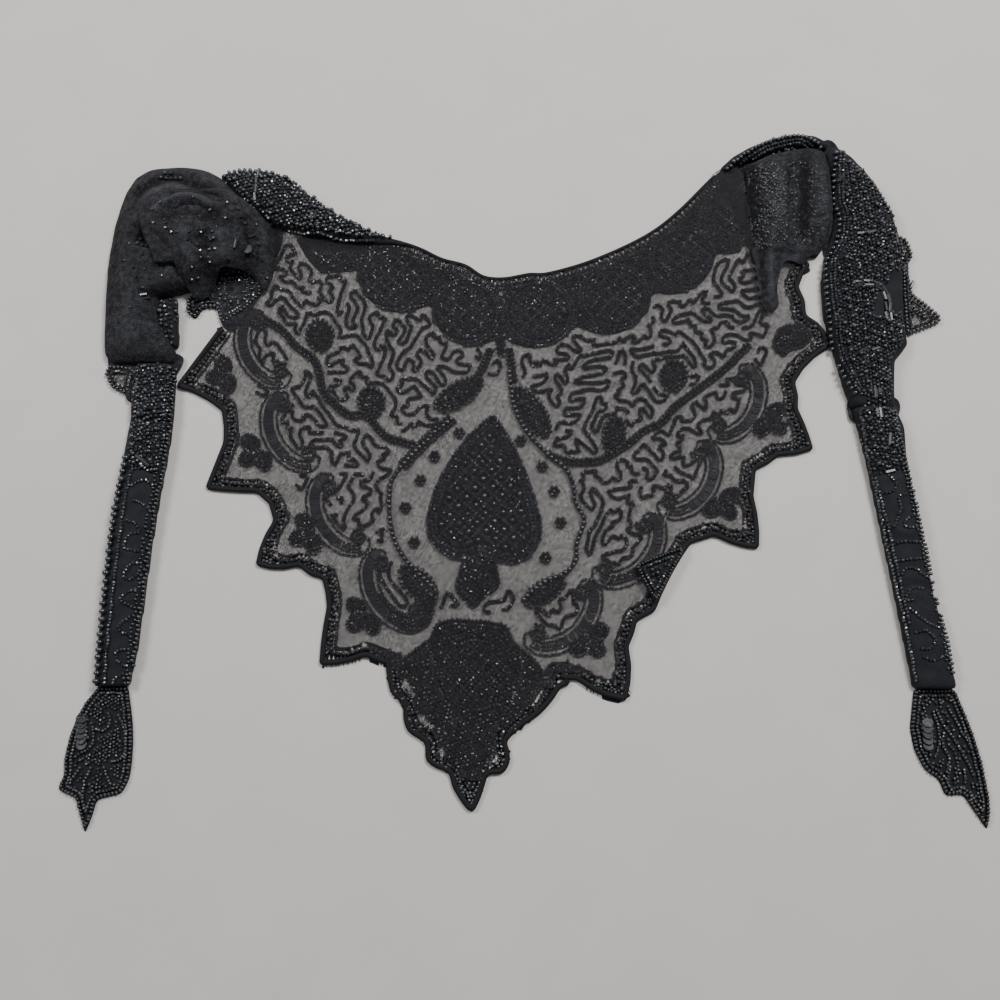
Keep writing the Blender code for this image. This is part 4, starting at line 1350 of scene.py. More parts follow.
PENDANT_EDGE = (
    (-57.5, -84), (-56.6, -88), (-55.7, -93.7), (-53.9, -99.4), (-49.3, -103.9), (-48.9, -108.9),
    (-46.8, -114.5), (-40.3, -118.9), (-39.6, -125.1), (-36.4, -128.1), (-30.6, -130.6), (-28.7, -136.1),
    (-24.8, -142.1), (-21, -145.4), (-17.9, -140.3), (-16, -134.8), (-14.5, -131.2), (-9.1, -130.6),
    (-6.2, -126.3), (-6.5, -121.3), (-7, -117.9), (-1.4, -112.6), (5.1, -108.3), (10.3, -103.2),
    (14.2, -97.5), (15, -93))
BORDER_JOINS = (
    ((-64, -79.5), (-56.7, -81.4), (-49.5, -82.7), (-50, -88), (-55.5, -91), (-57.5, -87), (-63.1, -85.9)),
    ((8, -88.5), (13, -86), (20, -86.5), (24, -93), (15, -92.5), (13, -98), (7, -96)))
YOKE_MIDDLE = ((-12.2, 74), (-12.2, 51), (-11, 46), (-8.4, 46), (-7.2, 51), (-7.2, 74))
YOKE_SPLIT = -9.7
YOKE_ENDS = {
    "yoke_left": ((-104, 104), (-101, 99), (-97.7, 93.2), (-91.6, 86.3), (-86.2, 85.4), (-49.1, 90.2),
                  (-49.2, 96.1),
                  (-50, 99.5), (-60, 102), (-86.7, 105)),
    "yoke_right": ((81.6, 127.1), (80.6, 106), (85.9, 103.1), (91, 98.1), (98.3, 98.6), (103.8, 101.1),
                   (105.5, 122.1), (103.5, 143.5), (89.1, 130.7))}


def hand_outline(points: Route) -> Outline:
    """A smooth outline through given points, turned to run anticlockwise."""
    line = smooth_route((*points, points[0]), 4)
    x, y = line.T
    return Outline(line[:-1] if np.sum(x[:-1] * y[1:] - x[1:] * y[:-1]) > 0 else line[:0:-1])


def petals(motif: Motif) -> list[Outline]:
    """A trefoil's three fat petals: ellipses of 5.2 by 3.8 mm round one middle, 80 degrees apart."""
    angle = np.radians(np.arange(0.0, 360.0, 15.0))
    ellipse = np.column_stack([4.7 + 5.2 * np.cos(angle), 3.8 * np.sin(angle)])
    middle = np.array([motif.x, motif.y]) - 1.4 * turned([[1.0, 0.0]], motif.turn)[0]
    return [Outline(turned(ellipse, motif.turn + d) + middle) for d in (-80.0, 0.0, 80.0)]


@dataclass
class BibNet:
    """The bib's net, lying on the backs of its beads."""

    height: float = 2.2
    ripple: float = 0.12
    spacing: float = 1.7

    def build(self, finishes: Finishes) -> bpy.types.Object:
        """Make the net, with z = height + ripple x a sum of sine waves."""
        net = cad_outline("bib_net")
        backed = [cad_outline(name).moved_in(1.0, 0.6) for name in BORDERS]
        backed += [hand_outline(points) for points in BORDER_JOINS]
        tip = hand_outline(PENDANT_EDGE)
        mesh = cloth_panel("net_of_bib", [net.moved_in(-2.2)], self.spacing, self._height,
                           lambda xy: (net.contains(xy) | ~outside_all(xy, backed))
                           & ((xy[:, 1] > -95.0) | (tip.depth(xy) > 0.6)))
        piece = show(mesh, finishes.net, Slot.NET, "bib_net")
        lay(piece)
        return piece

    def _height(self, xy: Array) -> Array:
        """Height of the net at each place, in millimetres."""
        return self.height + self.ripple * ripples(xy, 21.0, 5)


@dataclass
class ShadeSheet:
    """A dark sheet under the close-set motifs that paints the shade between their beads: there the eye meets
    it instead of the lit floor.
    """

    height: float = 0.15
    spacing: float = 1.6

    def build(self, finishes: Finishes) -> bpy.types.Object:
        """Make the painted shade sheet under all close-set motifs in one piece."""
        holes = [straight_outline(window) for window in MEDALLION_WINDOWS]
        whole = cad_outline("bib_net")
        bands = [cad_outline(name) for name in BORDERS]
        shapes = [cad_outline(name) for name in ("yoke_left", "yoke_right", "spade")]
        shapes += [hand_outline(points) for points in (MEDALLION, FOOT, OVAL_BLOB, CORNER_SPRIG)]
        shapes += [hand_outline(points) for points in (YOKE_MIDDLE, *YOKE_ENDS.values(), *BORDER_JOINS)]
        shapes += [petal for motif in TREFOILS.values() for petal in petals(motif)]
        cuts = [shape.moved_in(0.7) for shape in shapes]
        cuts += [cad_outline(name) for name in LENSES] + [round_outline(x, y, 2.0) for x, y in OVAL_DOTS]
        cuts += [band.moved_in(-1.4) for band in bands]
        backed = [whole, *(band.moved_in(0.6) for band in bands), *shapes]
        neck = smooth_route(NECK_ROUTE)
        # Painted shade: a dark sheet where only shaded floor lies between the beads.
        mesh = cloth_panel("painted_shade_sheet_under_motifs", cuts, self.spacing,
                           lambda xy: self.height + 0.1 * ripples(xy, 6.0, 9),
                           lambda xy: (outside_all(xy, holes) & ~outside_all(xy, backed)
                                       & (distance_to(xy, neck) > 2.0)))
        piece = show(mesh, finishes.cloth, Slot.CORD)
        lay(piece)
        return piece


@dataclass
class TuckedNet:
    """Folded net that lies between the pieces of the wings and the bib, and hides the floor there."""

    panels: tuple[tuple[float, Places], ...] = (
        (1.6, ((-182.4, 47), (-180, 38), (-174, 38.6), (-172, 25.6), (-164, 25.6), (-150.9, 38), (-151, 47))),
        (1.6, ((-110, 112), (-107.8, 101.9), (-112.1, 87.8), (-114.4, 78.5), (-118.3, 71.6), (-124.1, 62.5),
               (-128.1, 58), (-132.4, 59.5), (-135, 67.8), (-141, 75.5), (-146, 84.7), (-130, 96))),
        (1.2, ((136, 94), (143, 94), (147.5, 146), (136, 147))),
        (1.2, ((141, 16), (160, 16), (162, 27), (142, 27))),
        (1.4, ((80, 122), (84, 129), (90, 135.5), (97, 139.5), (103, 141), (104, 128), (90, 117))))

    def build(self, finishes: Finishes) -> Pieces:
        """Make each panel, its height rippled."""
        made: Pieces = []
        for k, (level, points) in enumerate(self.panels):
            mesh = cloth_panel(f"tucked_net_{k + 1}", [hand_outline(points)], 1.1,
                               lambda xy: level + 0.3 * ripples(xy, 9.0, 60 + k))
            made.append(show(mesh, finishes.layered, Slot.NET))
            lay(made[-1])
        return made


@dataclass
class ZigzagBorder:
    """The border sewn round the bib's points: a thick whipped cord outside and a row of beads inside it."""

    cord: float = 2.4
    bead: float = 2.1
    inset: float = 1.1
    inner_reach: float = 2.7

    def build(self, finishes: Finishes) -> Pieces:
        """Make the three runs of the border."""
        whole = cad_outline("bib_net")
        net = whole.loop
        made: Pieces = []
        for seed, name in enumerate(BORDERS):
            band = cad_outline(name)
            loop = band.inset(self.inset, 0.9)[:-1]
            inner = distance_to(loop, net) < self.inner_reach
            beads = Beading(100 + seed)
            cords = Beading(110 + seed)
            for line, is_inner in runs_of(loop, inner):
                if run_lengths(line)[-1] < 5.0 or name == "border_pendant":
                    continue
                if is_inner:
                    beads.thread(line, self.bead, cut=Cut.ROUND, slack=0.15)
                else:
                    cords.tube(flat_path(line, 0.42 * self.cord), self.cord, 0.84 * self.cord)
            wide = band.moved_in(-2.0)
            beads.fill(wide, 1.5, 0.6, pitch=1.55, large=0.12,
                       keep=lambda xy: (band.depth(xy) > 1.7) | whole.contains(xy))
            if name == "border_pendant":
                self._pendant(beads, cords)
            made.append(show(beads.mesh("beads_of_" + name), finishes.dark, Slot.BEADS, name))
            made.append(show(cords.mesh("cord_of_" + name), finishes.cord, Slot.CORD, name))
        return made

    def _pendant(self, beads: Beading, cords: Beading) -> None:
        """Sew the pendant's scalloped edge, its band, and the beads where the border's runs meet."""
        edge = hand_outline(PENDANT_EDGE).moved_in(1.1, 0.8)
        low = edge.points[:, 1] < -84.0
        line = [part for part, flag in runs_of(edge.points, low) if flag][0]
        line = line[(distance_to(line, np.array([PENDANT_EDGE[0], PENDANT_EDGE[-1]])) > 1.6)]
        cords.tube(flat_path(line, 0.42 * self.cord), self.cord, 0.84 * self.cord)
        inside = [hand_outline(MEDALLION), *(straight_outline(window) for window in MEDALLION_WINDOWS)]
        beads.fill(edge, 1.6, 1.4, pitch=1.65, large=0.08, keep=lambda xy: outside_all(xy, inside))
        for points in BORDER_JOINS:
            beads.fill(hand_outline(points), 1.6, 0.6, pitch=1.6, large=0.1)


def runs_of(loop: Array, flags: Array) -> list[tuple[Array, bool]]:
    """Cut a closed line where a flag changes.

    Args:
        loop: The line's points; its first point isn't repeated.
        flags: One flag for each point.

    Returns:
        The stretches, each with its flag.
    """
    turns = np.flatnonzero(flags != np.roll(flags, 1))
    if not len(turns):
        return [(np.vstack([loop, loop[:1]]), bool(flags[0]))]
    loop, flags = np.roll(loop, -turns[0], axis=0), np.roll(flags, -turns[0])
    cuts = turns[1:] - turns[0]
    parts = zip(np.split(loop, cuts), np.split(flags, cuts))
    return [(part, bool(flag[0])) for part, flag in parts if len(part) > 1]


@dataclass
class NeckEdge:
    """The cord whipped along the neck, and the ladder of beads that ties it to the yoke."""

    width: float = 1.7
    row_inset: float = 2.7
    row_bead: float = 2.0
    rungs: float = 2.6

    def build(self, finishes: Finishes) -> Pieces:
        """Make the cord, and the beads below it."""
        line = soften(smooth_route(NECK_ROUTE), 1.5)
        cord = Beading(120)
        cord.tube(flat_path(line, 0.5 * self.width), self.width, self.width)
        inward = -leftward(unit(np.gradient(line, axis=0)))
        beads = Beading(121)
        beads.thread(line + self.row_inset * inward, self.row_bead, cut=Cut.ROUND)
        beads.thread(line + (self.row_inset + 1.9) * inward, 1.6)
        places, ahead = spaced(line, self.rungs)
        side = -leftward(ahead)
        beads.place(places + 1.3 * side, side, 1.0, Cut.BUGLE, 1.5)
        return [
            show(cord.mesh("neck_edge_cord"), finishes.cord, Slot.CORD, "neck_cord"),
            show(beads.mesh("beads_of_neck_edge"), finishes.veiled, Slot.BEADS)]


@dataclass
class Yoke:
    """Scalloped yoke below the neck: overlapping rounds of bead rows with a lattice in each."""

    centres: Places = (
        (-88, 103), (-58, 82.5), (-25.5, 67), (7, 67), (41, 74.5), (73, 93), (100, 118))
    radius: float = 16.5
    spacing: float = 4.4
    bead: float = 1.6

    def build(self, finishes: Finishes) -> Pieces:
        """Make both halves: each round's beads go to the half that holds them."""
        made: Pieces = []
        for seed, name in enumerate(("yoke_left", "yoke_right")):
            half = cad_outline(name)
            beads, fill = Beading(130 + seed), Beading(135 + seed)
            taken: list[Outline] = []
            for k, (x, y) in enumerate(self.centres):
                disc = round_outline(x, y, self.radius)
                if not half.contains(disc.points).any():
                    continue
                for depth in (0.7, 2.3):
                    row = soften(round_outline(x, y, self.radius - depth).points, 1.0, closed=True)
                    self._within(beads, np.vstack([row, row[:1]]), half, taken)
                core = round_outline(x, y, self.radius - 4.0)
                for degrees in (45.0 + BIB_TURN, 135.0 + BIB_TURN):
                    for line in hatch(core, self.spacing, degrees, 0.0):
                        self._within(beads, line, half, taken)
                cells = core.lattice(1.75, 0.2, 20.0)
                cells = cells[half.depth(cells) > 0.8]
                fill.scatter(cells[outside_all(cells, taken)], 1.4)
                taken.append(round_outline(x, y, self.radius))
            end = hand_outline(YOKE_ENDS[name])
            places = np.vstack([half.lattice(1.7, 0.7, 12.0), end.lattice(1.8, 0.5, 25.0)])
            places = places[distance_to(places, smooth_route(NECK_ROUTE)) > 2.2]
            fill.scatter(places[outside_all(places, taken)], self.bead)
            fill.fill(hand_outline(YOKE_MIDDLE), 1.4, 0.2, pitch=1.6,
                      keep=lambda xy: (xy[:, 0] < YOKE_SPLIT) == (seed == 0))
            made.append(show(beads.mesh("rows_of_" + name), finishes.rows, Slot.BEADS, name))
            made.append(show(fill.mesh("fill_of_" + name), finishes.veiled, Slot.BEADS, name))
        return made

    def _within(self, beads: Beading, line: Array, half: Outline, taken: list[Outline]) -> None:
        """Thread the stretches of a line that lie inside the yoke and outside the rounds already sewn."""
        for part in stretches(line, (half.depth(line) > 0.6) & outside_all(line, taken)):
            beads.thread(part, self.bead, slack=0.06)


def outside_all(xy: Array, outlines: Sequence[Outline]) -> Array:
    """Whether each place is outside every one of the outlines."""
    return np.logical_and.reduce([~outline.contains(xy) for outline in outlines] or [np.ones(len(xy), bool)])


@dataclass
class SpadeMotif:
    """The spade in the middle: a wide rim of rows round a diagonal lattice, and its foot of close rows."""

    rim_rows: int = 3
    row_pitch: float = 1.6
    spacing: float = 5.3
    bead: float = 1.8
    knot: float = 2.4

    def build(self, finishes: Finishes) -> Pieces:
        """Make the spade and its foot."""
        spade = cad_outline("spade")
        beads = Beading(140)
        for row in range(self.rim_rows):
            beads.thread(spade.inset(0.9 + self.row_pitch * row), self.bead, slack=0.12)
        rim = 0.9 + self.row_pitch * self.rim_rows
        beads.lattice(spade, self.spacing, 45.0 + BIB_TURN, rim, self.bead, self.knot)
        foot = hand_outline(FOOT)
        rows = Beading(141)
        rows.thread(foot.inset(0.8), self.bead)
        for line in hatch(foot, self.row_pitch, 58.0, 1.6):
            rows.thread(line, self.bead, slack=0.1)
        return [
            show(beads.mesh("beads_of_spade"), finishes.rows, Slot.BEADS, "spade"),
            show(rows.mesh("beads_of_spade_foot"), finishes.veiled, Slot.BEADS, "spade_foot")]


@dataclass
class SmallMotifs:
    """Leaves, ovals and rosettes: a row of beads round a close fill; and the trefoils in the points."""

    bead: float = 1.6

    def build(self, finishes: Finishes) -> Pieces:
        """Make each motif as a piece of its own."""
        made: Pieces = []
        for seed, name in enumerate((*LENSES, *TREFOILS)):
            beads = Beading(150 + seed)
            if name in TREFOILS:
                for petal in petals(TREFOILS[name]):
                    beads.thread(petal.inset(0.4, 0.6), 1.5, slack=0.1)
                    beads.fill(petal, 1.4, 1.5, pitch=1.4)
            else:
                region = cad_outline(name).moved_in(-0.9)
                beads.thread(region.inset(0.6, 0.6), 2.2, pitch=2.3, cut=Cut.ROUND, slack=0.15)
                beads.fill(region, 1.5, 2.1, pitch=1.55, large=0.12)
            if name == "oval_left":
                blob = hand_outline(OVAL_BLOB)
                beads.thread(blob.inset(0.6), 1.8, cut=Cut.ROUND, slack=0.15)
                beads.fill(blob, 1.5, 1.9, pitch=1.6, large=0.1)
            made.append(show(beads.mesh("beads_of_" + name), finishes.veiled, Slot.BEADS, name))
        sprig = Beading(175)
        sprig.thread(hand_outline(CORNER_SPRIG).inset(0.7, 0.6), 1.7, slack=0.15)
        sprig.fill(hand_outline(CORNER_SPRIG), 1.5, 2.0, pitch=1.6, large=0.1)
        return [*made, show(sprig.mesh("beads_of_corner_sprig"), finishes.veiled, Slot.BEADS)]


@dataclass
class SequinScrolls:
    """C-scrolls along the points: overlapping sequins in a rim of beads, curled in at both ends."""

    half_length: float = 25.0
    sequin: float = 4.5
    pitch: float = 1.6
    lean: float = 9.0
    bend: float = 62.0
    hook: float = 95.0

    def spine(self, motif: Motif) -> Array:
        """Middle line: at a share u of half its length its heading is bend x u + hook x u**6, in degrees."""
        u = np.linspace(0.0, 1.0, 60)
        heading = np.radians(self.bend * u + self.hook * u**6)
        step = self.half_length * (u[1] - u[0])
        half = toward(heading)
        half = np.vstack([[0.0, 0.0], np.cumsum(0.5 * (half[1:] + half[:-1]) * step, axis=0)])
        whole = np.vstack([half[::-1] * [-1.0, 1.0], half[1:]])
        return turned(whole, motif.turn - 90.0) + [motif.x, motif.y]

    def build(self, finishes: Finishes) -> Pieces:
        """Make each scroll's sequins and beads."""
        made: Pieces = []
        for seed, (name, motif) in enumerate(SCROLLS.items()):
            spine = self.spine(motif)
            tape = Beading(180 + seed, Level(0.1))
            falling = spine if spine[0, 1] > spine[-1, 1] else spine[::-1]
            tape.sequins(at_lengths(falling, np.linspace(2.5, 34.0, 80)), self.sequin, self.pitch, self.lean)
            beads = Beading(190 + seed)
            beads.thread(cad_outline(name).inset(-0.7, 0.8), 1.3)
            tail = at_lengths(falling, np.linspace(32.0, 46.0, 20))
            side = leftward(unit(np.gradient(tail, axis=0)))
            for shift in (-1.7, -0.2, 1.3):
                beads.thread(tail + shift * side, 1.3)
            for end in (0, -1):
                beads.scatter(self._curl(spine, end), 1.9, Cut.ROUND)
            made.append(show(tape.mesh("sequins_of_" + name), finishes.veiled_sequins, Slot.SEQUINS, name))
            made.append(show(beads.mesh("beads_of_" + name), finishes.veiled, Slot.BEADS))
        return made

    def _curl(self, spine: Array, end: int) -> Array:
        """Bead places on a spiral inside a scroll's hook, from 3.7 mm down to 1.3 mm from its middle."""
        tip, before = spine[end], spine[6 if end == 0 else -7]
        ahead = (tip - before) / np.linalg.norm(tip - before)
        inward = np.array([-ahead[1], ahead[0]]) * (-1.0 if end == 0 else 1.0)
        middle = tip + 3.0 * inward
        angle = np.linspace(0.0, 2.5 * np.pi, 17)
        radius = np.linspace(3.7, 1.3, 17)[:, None]
        return middle + radius * (np.cos(angle)[:, None] * ahead + np.sin(angle)[:, None] * inward)


@dataclass
class PendantMedallion:
    """The pendant at the bottom: close beads, a lattice heart, bugle arcs and windows of bare net."""

    heart: tuple[float, float, float] = (-20.0, -92.0, 14.0)
    bead: float = 1.6

    def build(self, finishes: Finishes) -> Pieces:
        """Make the pendant's beads."""
        outline = hand_outline(MEDALLION)
        holes = [straight_outline(window) for window in MEDALLION_WINDOWS]
        x, y, radius = self.heart
        heart = round_outline(x, y, radius)
        beads = Beading(200)
        beads.thread(outline.inset(0.9), 1.8, cut=Cut.ROUND)
        beads.thread(outline.inset(2.7), self.bead)
        beads.thread(soften(heart.loop, 1.0), self.bead)
        beads.lattice(heart, 3.6, 45.0 + BIB_TURN, 0.6, self.bead, 1.9)
        beads.fill(outline, self.bead, 3.6, pitch=1.75, large=0.1,
                   keep=lambda xy: outside_all(xy, [*holes, round_outline(x, y, radius + 1.2)]))
        beads.bugle_arc(((-38, -84), (-37, -92), (-33, -101)), 4.0)
        beads.bugle_arc(((-2, -82), (-1, -92), (-5, -102)), 4.0)
        return [show(beads.mesh("beads_of_pendant"), finishes.veiled, Slot.BEADS, "pendant_medallion")]


@dataclass
class BeadLines:
    """The loose lines of the bib: vermicelli, the oval round the spade with its dots, and the swags."""

    bead: float = 1.8
    oval_bead: float = 2.5
    gap: float = 2.0

    def build(self, finishes: Finishes) -> Pieces:
        """Make the wandering lines and the drawn lines."""
        random = np.random.default_rng(210)
        wander = (Beading(211), Beading(213))
        couching = Beading(214)
        for line in Vermicelli().lines(self._field(), random):
            wander[int(line[:, 0].mean() > -12.0)].thread(line, self.bead, slack=0.12)
            self._couch(couching, line)
        drawn = Beading(212)
        for route in (OVAL_LEFT, OVAL_RIGHT):
            drawn.curve(route, self.oval_bead, cut=Cut.ROUND)
        for route in (SWAG_LEFT, SWAG_RIGHT, *SWAG_STEMS):
            drawn.curve(route, 2.1, cut=Cut.ROUND, twin=self.gap)
            self._couch(couching, smooth_route(route), 3.2)
        for route in (OVAL_LEFT, OVAL_RIGHT):
            self._couch(couching, smooth_route(route))
        drawn.curve(OVAL_LEFT[:4], 2.1, cut=Cut.ROUND, twin=3.6)
        ring = np.radians(np.arange(0.0, 360.0, 60.0))
        for x, y in OVAL_DOTS:
            drawn.scatter(np.vstack([[x, y] + 1.8 * toward(ring), [[x, y]]]), 2.1, Cut.ROUND)
        return [
            show(wander[0].mesh("vermicelli_lines_left"), finishes.veiled, Slot.BEADS),
            show(wander[1].mesh("vermicelli_lines_right"), finishes.veiled, Slot.BEADS),
            show(couching.mesh("couching_thread_of_lines"), finishes.cord, Slot.CORD),
            show(drawn.mesh("oval_and_swag_lines"), finishes.veiled, Slot.BEADS)]

    def _couch(self, couching: Beading, line: Array, width: float = 1.6) -> None:
        """Lay the thread that couches a line's beads down: a flat strand under them."""
        length = run_lengths(line)[-1]
        strand = at_lengths(line, np.linspace(0.0, length, max(4, round(0.8 * length))))
        couching.tube(flat_path(strand, 0.55), width, 0.9, 5)

    def _field(self) -> Field:
        """Where vermicelli may run."""
        scrolls = SequinScrolls()
        oval = np.vstack([smooth_route(OVAL_LEFT), smooth_route(OVAL_RIGHT)[::-1]])
        motifs = [(cad_outline(name), 1.6) for name in (*LENSES, *TREFOILS)]
        motifs += [(cad_outline(name), 0.6) for name in ("yoke_left", "yoke_right")]
        motifs += [(hand_outline(points), 0.6) for points in YOKE_ENDS.values()]
        motifs += [(hand_outline(points), 1.2) for points in (MEDALLION, FOOT, OVAL_BLOB, CORNER_SPRIG)]
        net = cad_outline("bib_net").loop
        lines = [(scrolls.spine(motif), 4.3) for motif in SCROLLS.values()]
        lines += [(smooth_route(route), 2.7) for route in (SWAG_LEFT, SWAG_RIGHT, *SWAG_STEMS)]
        lines += [(smooth_route(route), 2.3) for route in (OVAL_LEFT, OVAL_RIGHT)] + [(net, 2.6)]
        motifs.append((Outline(oval[oval[:, 1] > -56.0]), 1.0))
        return Field(Outline(smooth_route((*FIELD_EDGE, FIELD_EDGE[0]), 4)[:-1]), motifs, lines)


# ---------------------------------------------------------------- the folded wings


@dataclass
class FoldedStretch:
    """A stretch of the collar rolled or folded on itself: its cloth all round, and the beads on it."""

    node: str
    piece_name: str
    length: float
    creases: tuple[Crease, ...] = ()
    voxel: float = 0.95
    ripple: float = 0.25
    smoothing: int = 6
    seed: int = 300
    seat: float = 0.28
    layered: bool = False

    def build(self, finishes: Finishes) -> Pieces:
        """Make the cloth and the beads.

        Args:
            finishes: The collar's materials.

        Returns:
            The pieces.
        """
        skin = self.skin()
        cloth = skin.piece(self.piece_name, finishes.layered if self.layered else finishes.cloth, Slot.NET)
        length = self.length * MM
        skin.area() / length
        beads = Beading(self.seed + 1, skin, self.seat)
        self.sew(beads)
        made = [cloth]
        if beads.total:
            glass = finishes.veiled if self.layered else finishes.beads
            made.append(show(beads.mesh("beads_of_" + self.piece_name), glass, Slot.BEADS))
        return made

    def skin(self) -> Skin:
        """The cloth's form."""
        return Skin(self.node, self.creases, self.voxel, self.ripple, self.seed, self.smoothing)

    def sew(self, beads: Beading) -> None:
        """Sew the beads on."""


@dataclass
class LeftLobe(FoldedStretch):
    """The left wing, folded into a dark heap: net in layers, wrong side up, with beads glinting through."""

    node: str = "left_lobe"
    piece_name: str = "folded_net_of_left_wing"
    length: float = 96.0
    voxel: float = 1.05
    ripple: float = 0.3
    seed: int = 310
    layered: bool = True
    creases: tuple[Crease, ...] = (
        Crease(1.8, 2.4, ((-170, 108), (-167, 116), (-156, 121), (-147, 118), (-139, 113), (-127, 110),
                          (-116, 107))),
        Crease(-1.6, 2.6, ((-174, 110), (-170, 121), (-157, 126.5), (-144, 122), (-134, 116.5), (-120, 112))),
        Crease(-2.2, 3.0, ((-170, 101), (-167, 97), (-160, 94))),
        Crease(1.0, 1.4, ((-172, 94.5), (-165, 92), (-158, 92.5))),
        Crease(1.0, 1.6, ((-167, 88), (-161, 91), (-156, 88), (-155, 81), (-160, 76.5), (-166, 77))),
        Crease(-0.8, 3.0, ((-178, 125), (-181, 108), (-181, 88), (-180, 66), (-179, 50))),
        Crease(0.8, 3.0, ((-170, 72), (-172, 60), (-170, 47))),
        Crease(-0.5, 0.9, ((-181, 46), (-170, 44), (-160, 43.5), (-152, 44))),
        Crease(0.9, 2.5, ((-160, 136), (-150, 134), (-140, 129), (-130, 121), (-122, 114))))

    def sew(self, beads: Beading) -> None:
        """Beads that show through the net: sunk, few, and in small groups."""
        beads.seat = 0.1
        through = straight_outline((
            (-178, 96), (-150, 112), (-128, 112), (-118, 100), (-140, 84), (-172, 60)))
        places = through.lattice(4.2, 1.0)
        pick = beads.random.uniform(size=len(places)) < 0.35
        beads.scatter(places[pick] + beads.random.normal(0, 1.0, (pick.sum(), 2)), 1.4)
        beads.seat = 0.35
        beads.curve(((-163, 128), (-158, 127), (-152, 127.5)), 1.7, pitch=2.1)
        beads.curve(((-162, 130), (-156, 130)), 1.7, pitch=2.6)
        beads.curve(((-170, 94.5), (-166, 93), (-160, 92.5)), 1.7, pitch=1.9)
        beads.curve(((-170, 97.5), (-166, 97), (-161, 97)), 1.7, pitch=2.6)
        beads.bugles(((-166, 72, 5), (-165, 70.6, 5)), 3.4, 1.2)


@dataclass
class LeftFlap(FoldedStretch):
    """The layer of net that hangs over the lobe and the left side of the bib."""

    node: str = "left_flap"
    piece_name: str = "net_flap_of_left_wing"
    length: float = 48.0
    voxel: float = 0.82
    ripple: float = 0.45
    smoothing: int = 4
    seed: int = 320
    layered: bool = True
    creases: tuple[Crease, ...] = (
        Crease(-0.8, 2.0, ((-165, 108), (-152, 106), (-138, 106), (-124, 101))),
        Crease(0.6, 2.2, ((-162, 102), (-150, 99), (-138, 99), (-126, 94))))

    def sew(self, beads: Beading) -> None:
        """Seeds that show through."""
        beads.seat = 0.12
        through = straight_outline((
            (-162, 88), (-162, 106), (-140, 104), (-120, 102), (-120, 90), (-140, 84)))
        places = through.lattice(3.4, 1.0)
        pick = beads.random.uniform(size=len(places)) < 0.5
        beads.scatter(places[pick] + beads.random.normal(0, 0.8, (pick.sum(), 2)), 1.5)


@dataclass
class DrapedLayer(Ground):
    """An outermost layer of net: it hangs softly over the stretches below it, and its rim turns down."""

    piece_name: str = "draped_net"
    edge: Places = ()
    creases: tuple[Crease, ...] = ()
    base: float = 3.2
    reach: float = 3.0
    width: float = 2.6
    over: float = 0.6
    rim: float = 1.6
    spacing: float = 0.9
    seed: int = 325

    def grounds(self) -> list[BVHTree]:
        """The skins below the layer."""
        return []

    def build(self, finishes: Finishes) -> Pieces:
        """Drape the layer, and sew on what shows through it."""
        outline, below = hand_outline(self.edge), self.grounds()
        mesh = cloth_panel(self.piece_name, [outline], self.spacing,
                           lambda xy: self._height(xy, outline, below))
        points, faces = points_of(mesh) / MM, corners_of(mesh).reshape(-1, 3)
        # The creases' lift, kept as the fold attribute, paints shade in the troughs and lighter tone on the
        # ridges.
        paint_fold_shade(mesh, crease_lift(points[:, :2], self.creases))
        self.tree = BVHTree.FromPolygons(points.tolist(), faces.tolist())
        piece = show(mesh, finishes.layered, Slot.NET)
        lay(piece)
        return [piece, *self.sew(outline, finishes)]

    def sew(self, outline: Outline, finishes: Finishes) -> Pieces:
        """Sew the beads and sequins on."""
        return []

    def _height(self, xy: Array, outline: Outline, grounds: list[BVHTree]) -> Array:
        """Height of the layer.

        The layer takes the highest ground within its reach, evened out by a Gaussian of its width, so that it
        spans steps; then come its creases, its ripples, and a rim that turns down over 1.2 mm.

        Args:
            xy: Places in plan, in millimetres.
            outline: The layer's outline.
            grounds: The skins below.

        Returns:
            Heights, in millimetres.
        """
        below = np.full(len(xy), self.base)
        for k, (x, y) in enumerate(xy.tolist()):
            hits = [tree.ray_cast((x, y, RAY_TOP), DOWN)[0] for tree in grounds]
            below[k] = max([self.base, *(hit.z for hit in hits if hit is not None)])
        gap = np.linalg.norm(xy[:, None] - xy[None], axis=-1)
        spanned = np.where(gap < self.reach, below[None, :], 0.0).max(axis=1)
        near = np.exp(-(gap**2) / (2 * self.width**2))
        even = np.maximum(near @ spanned / near.sum(axis=1), below + 0.3) + self.over
        even += crease_lift(xy, self.creases) + 0.35 * ripples(xy, 7.0, self.seed)
        rim = self.rim * np.exp(-((np.maximum(outline.depth(xy), 0.0) / 1.2) ** 2))
        return np.maximum(even - rim, 1.2)


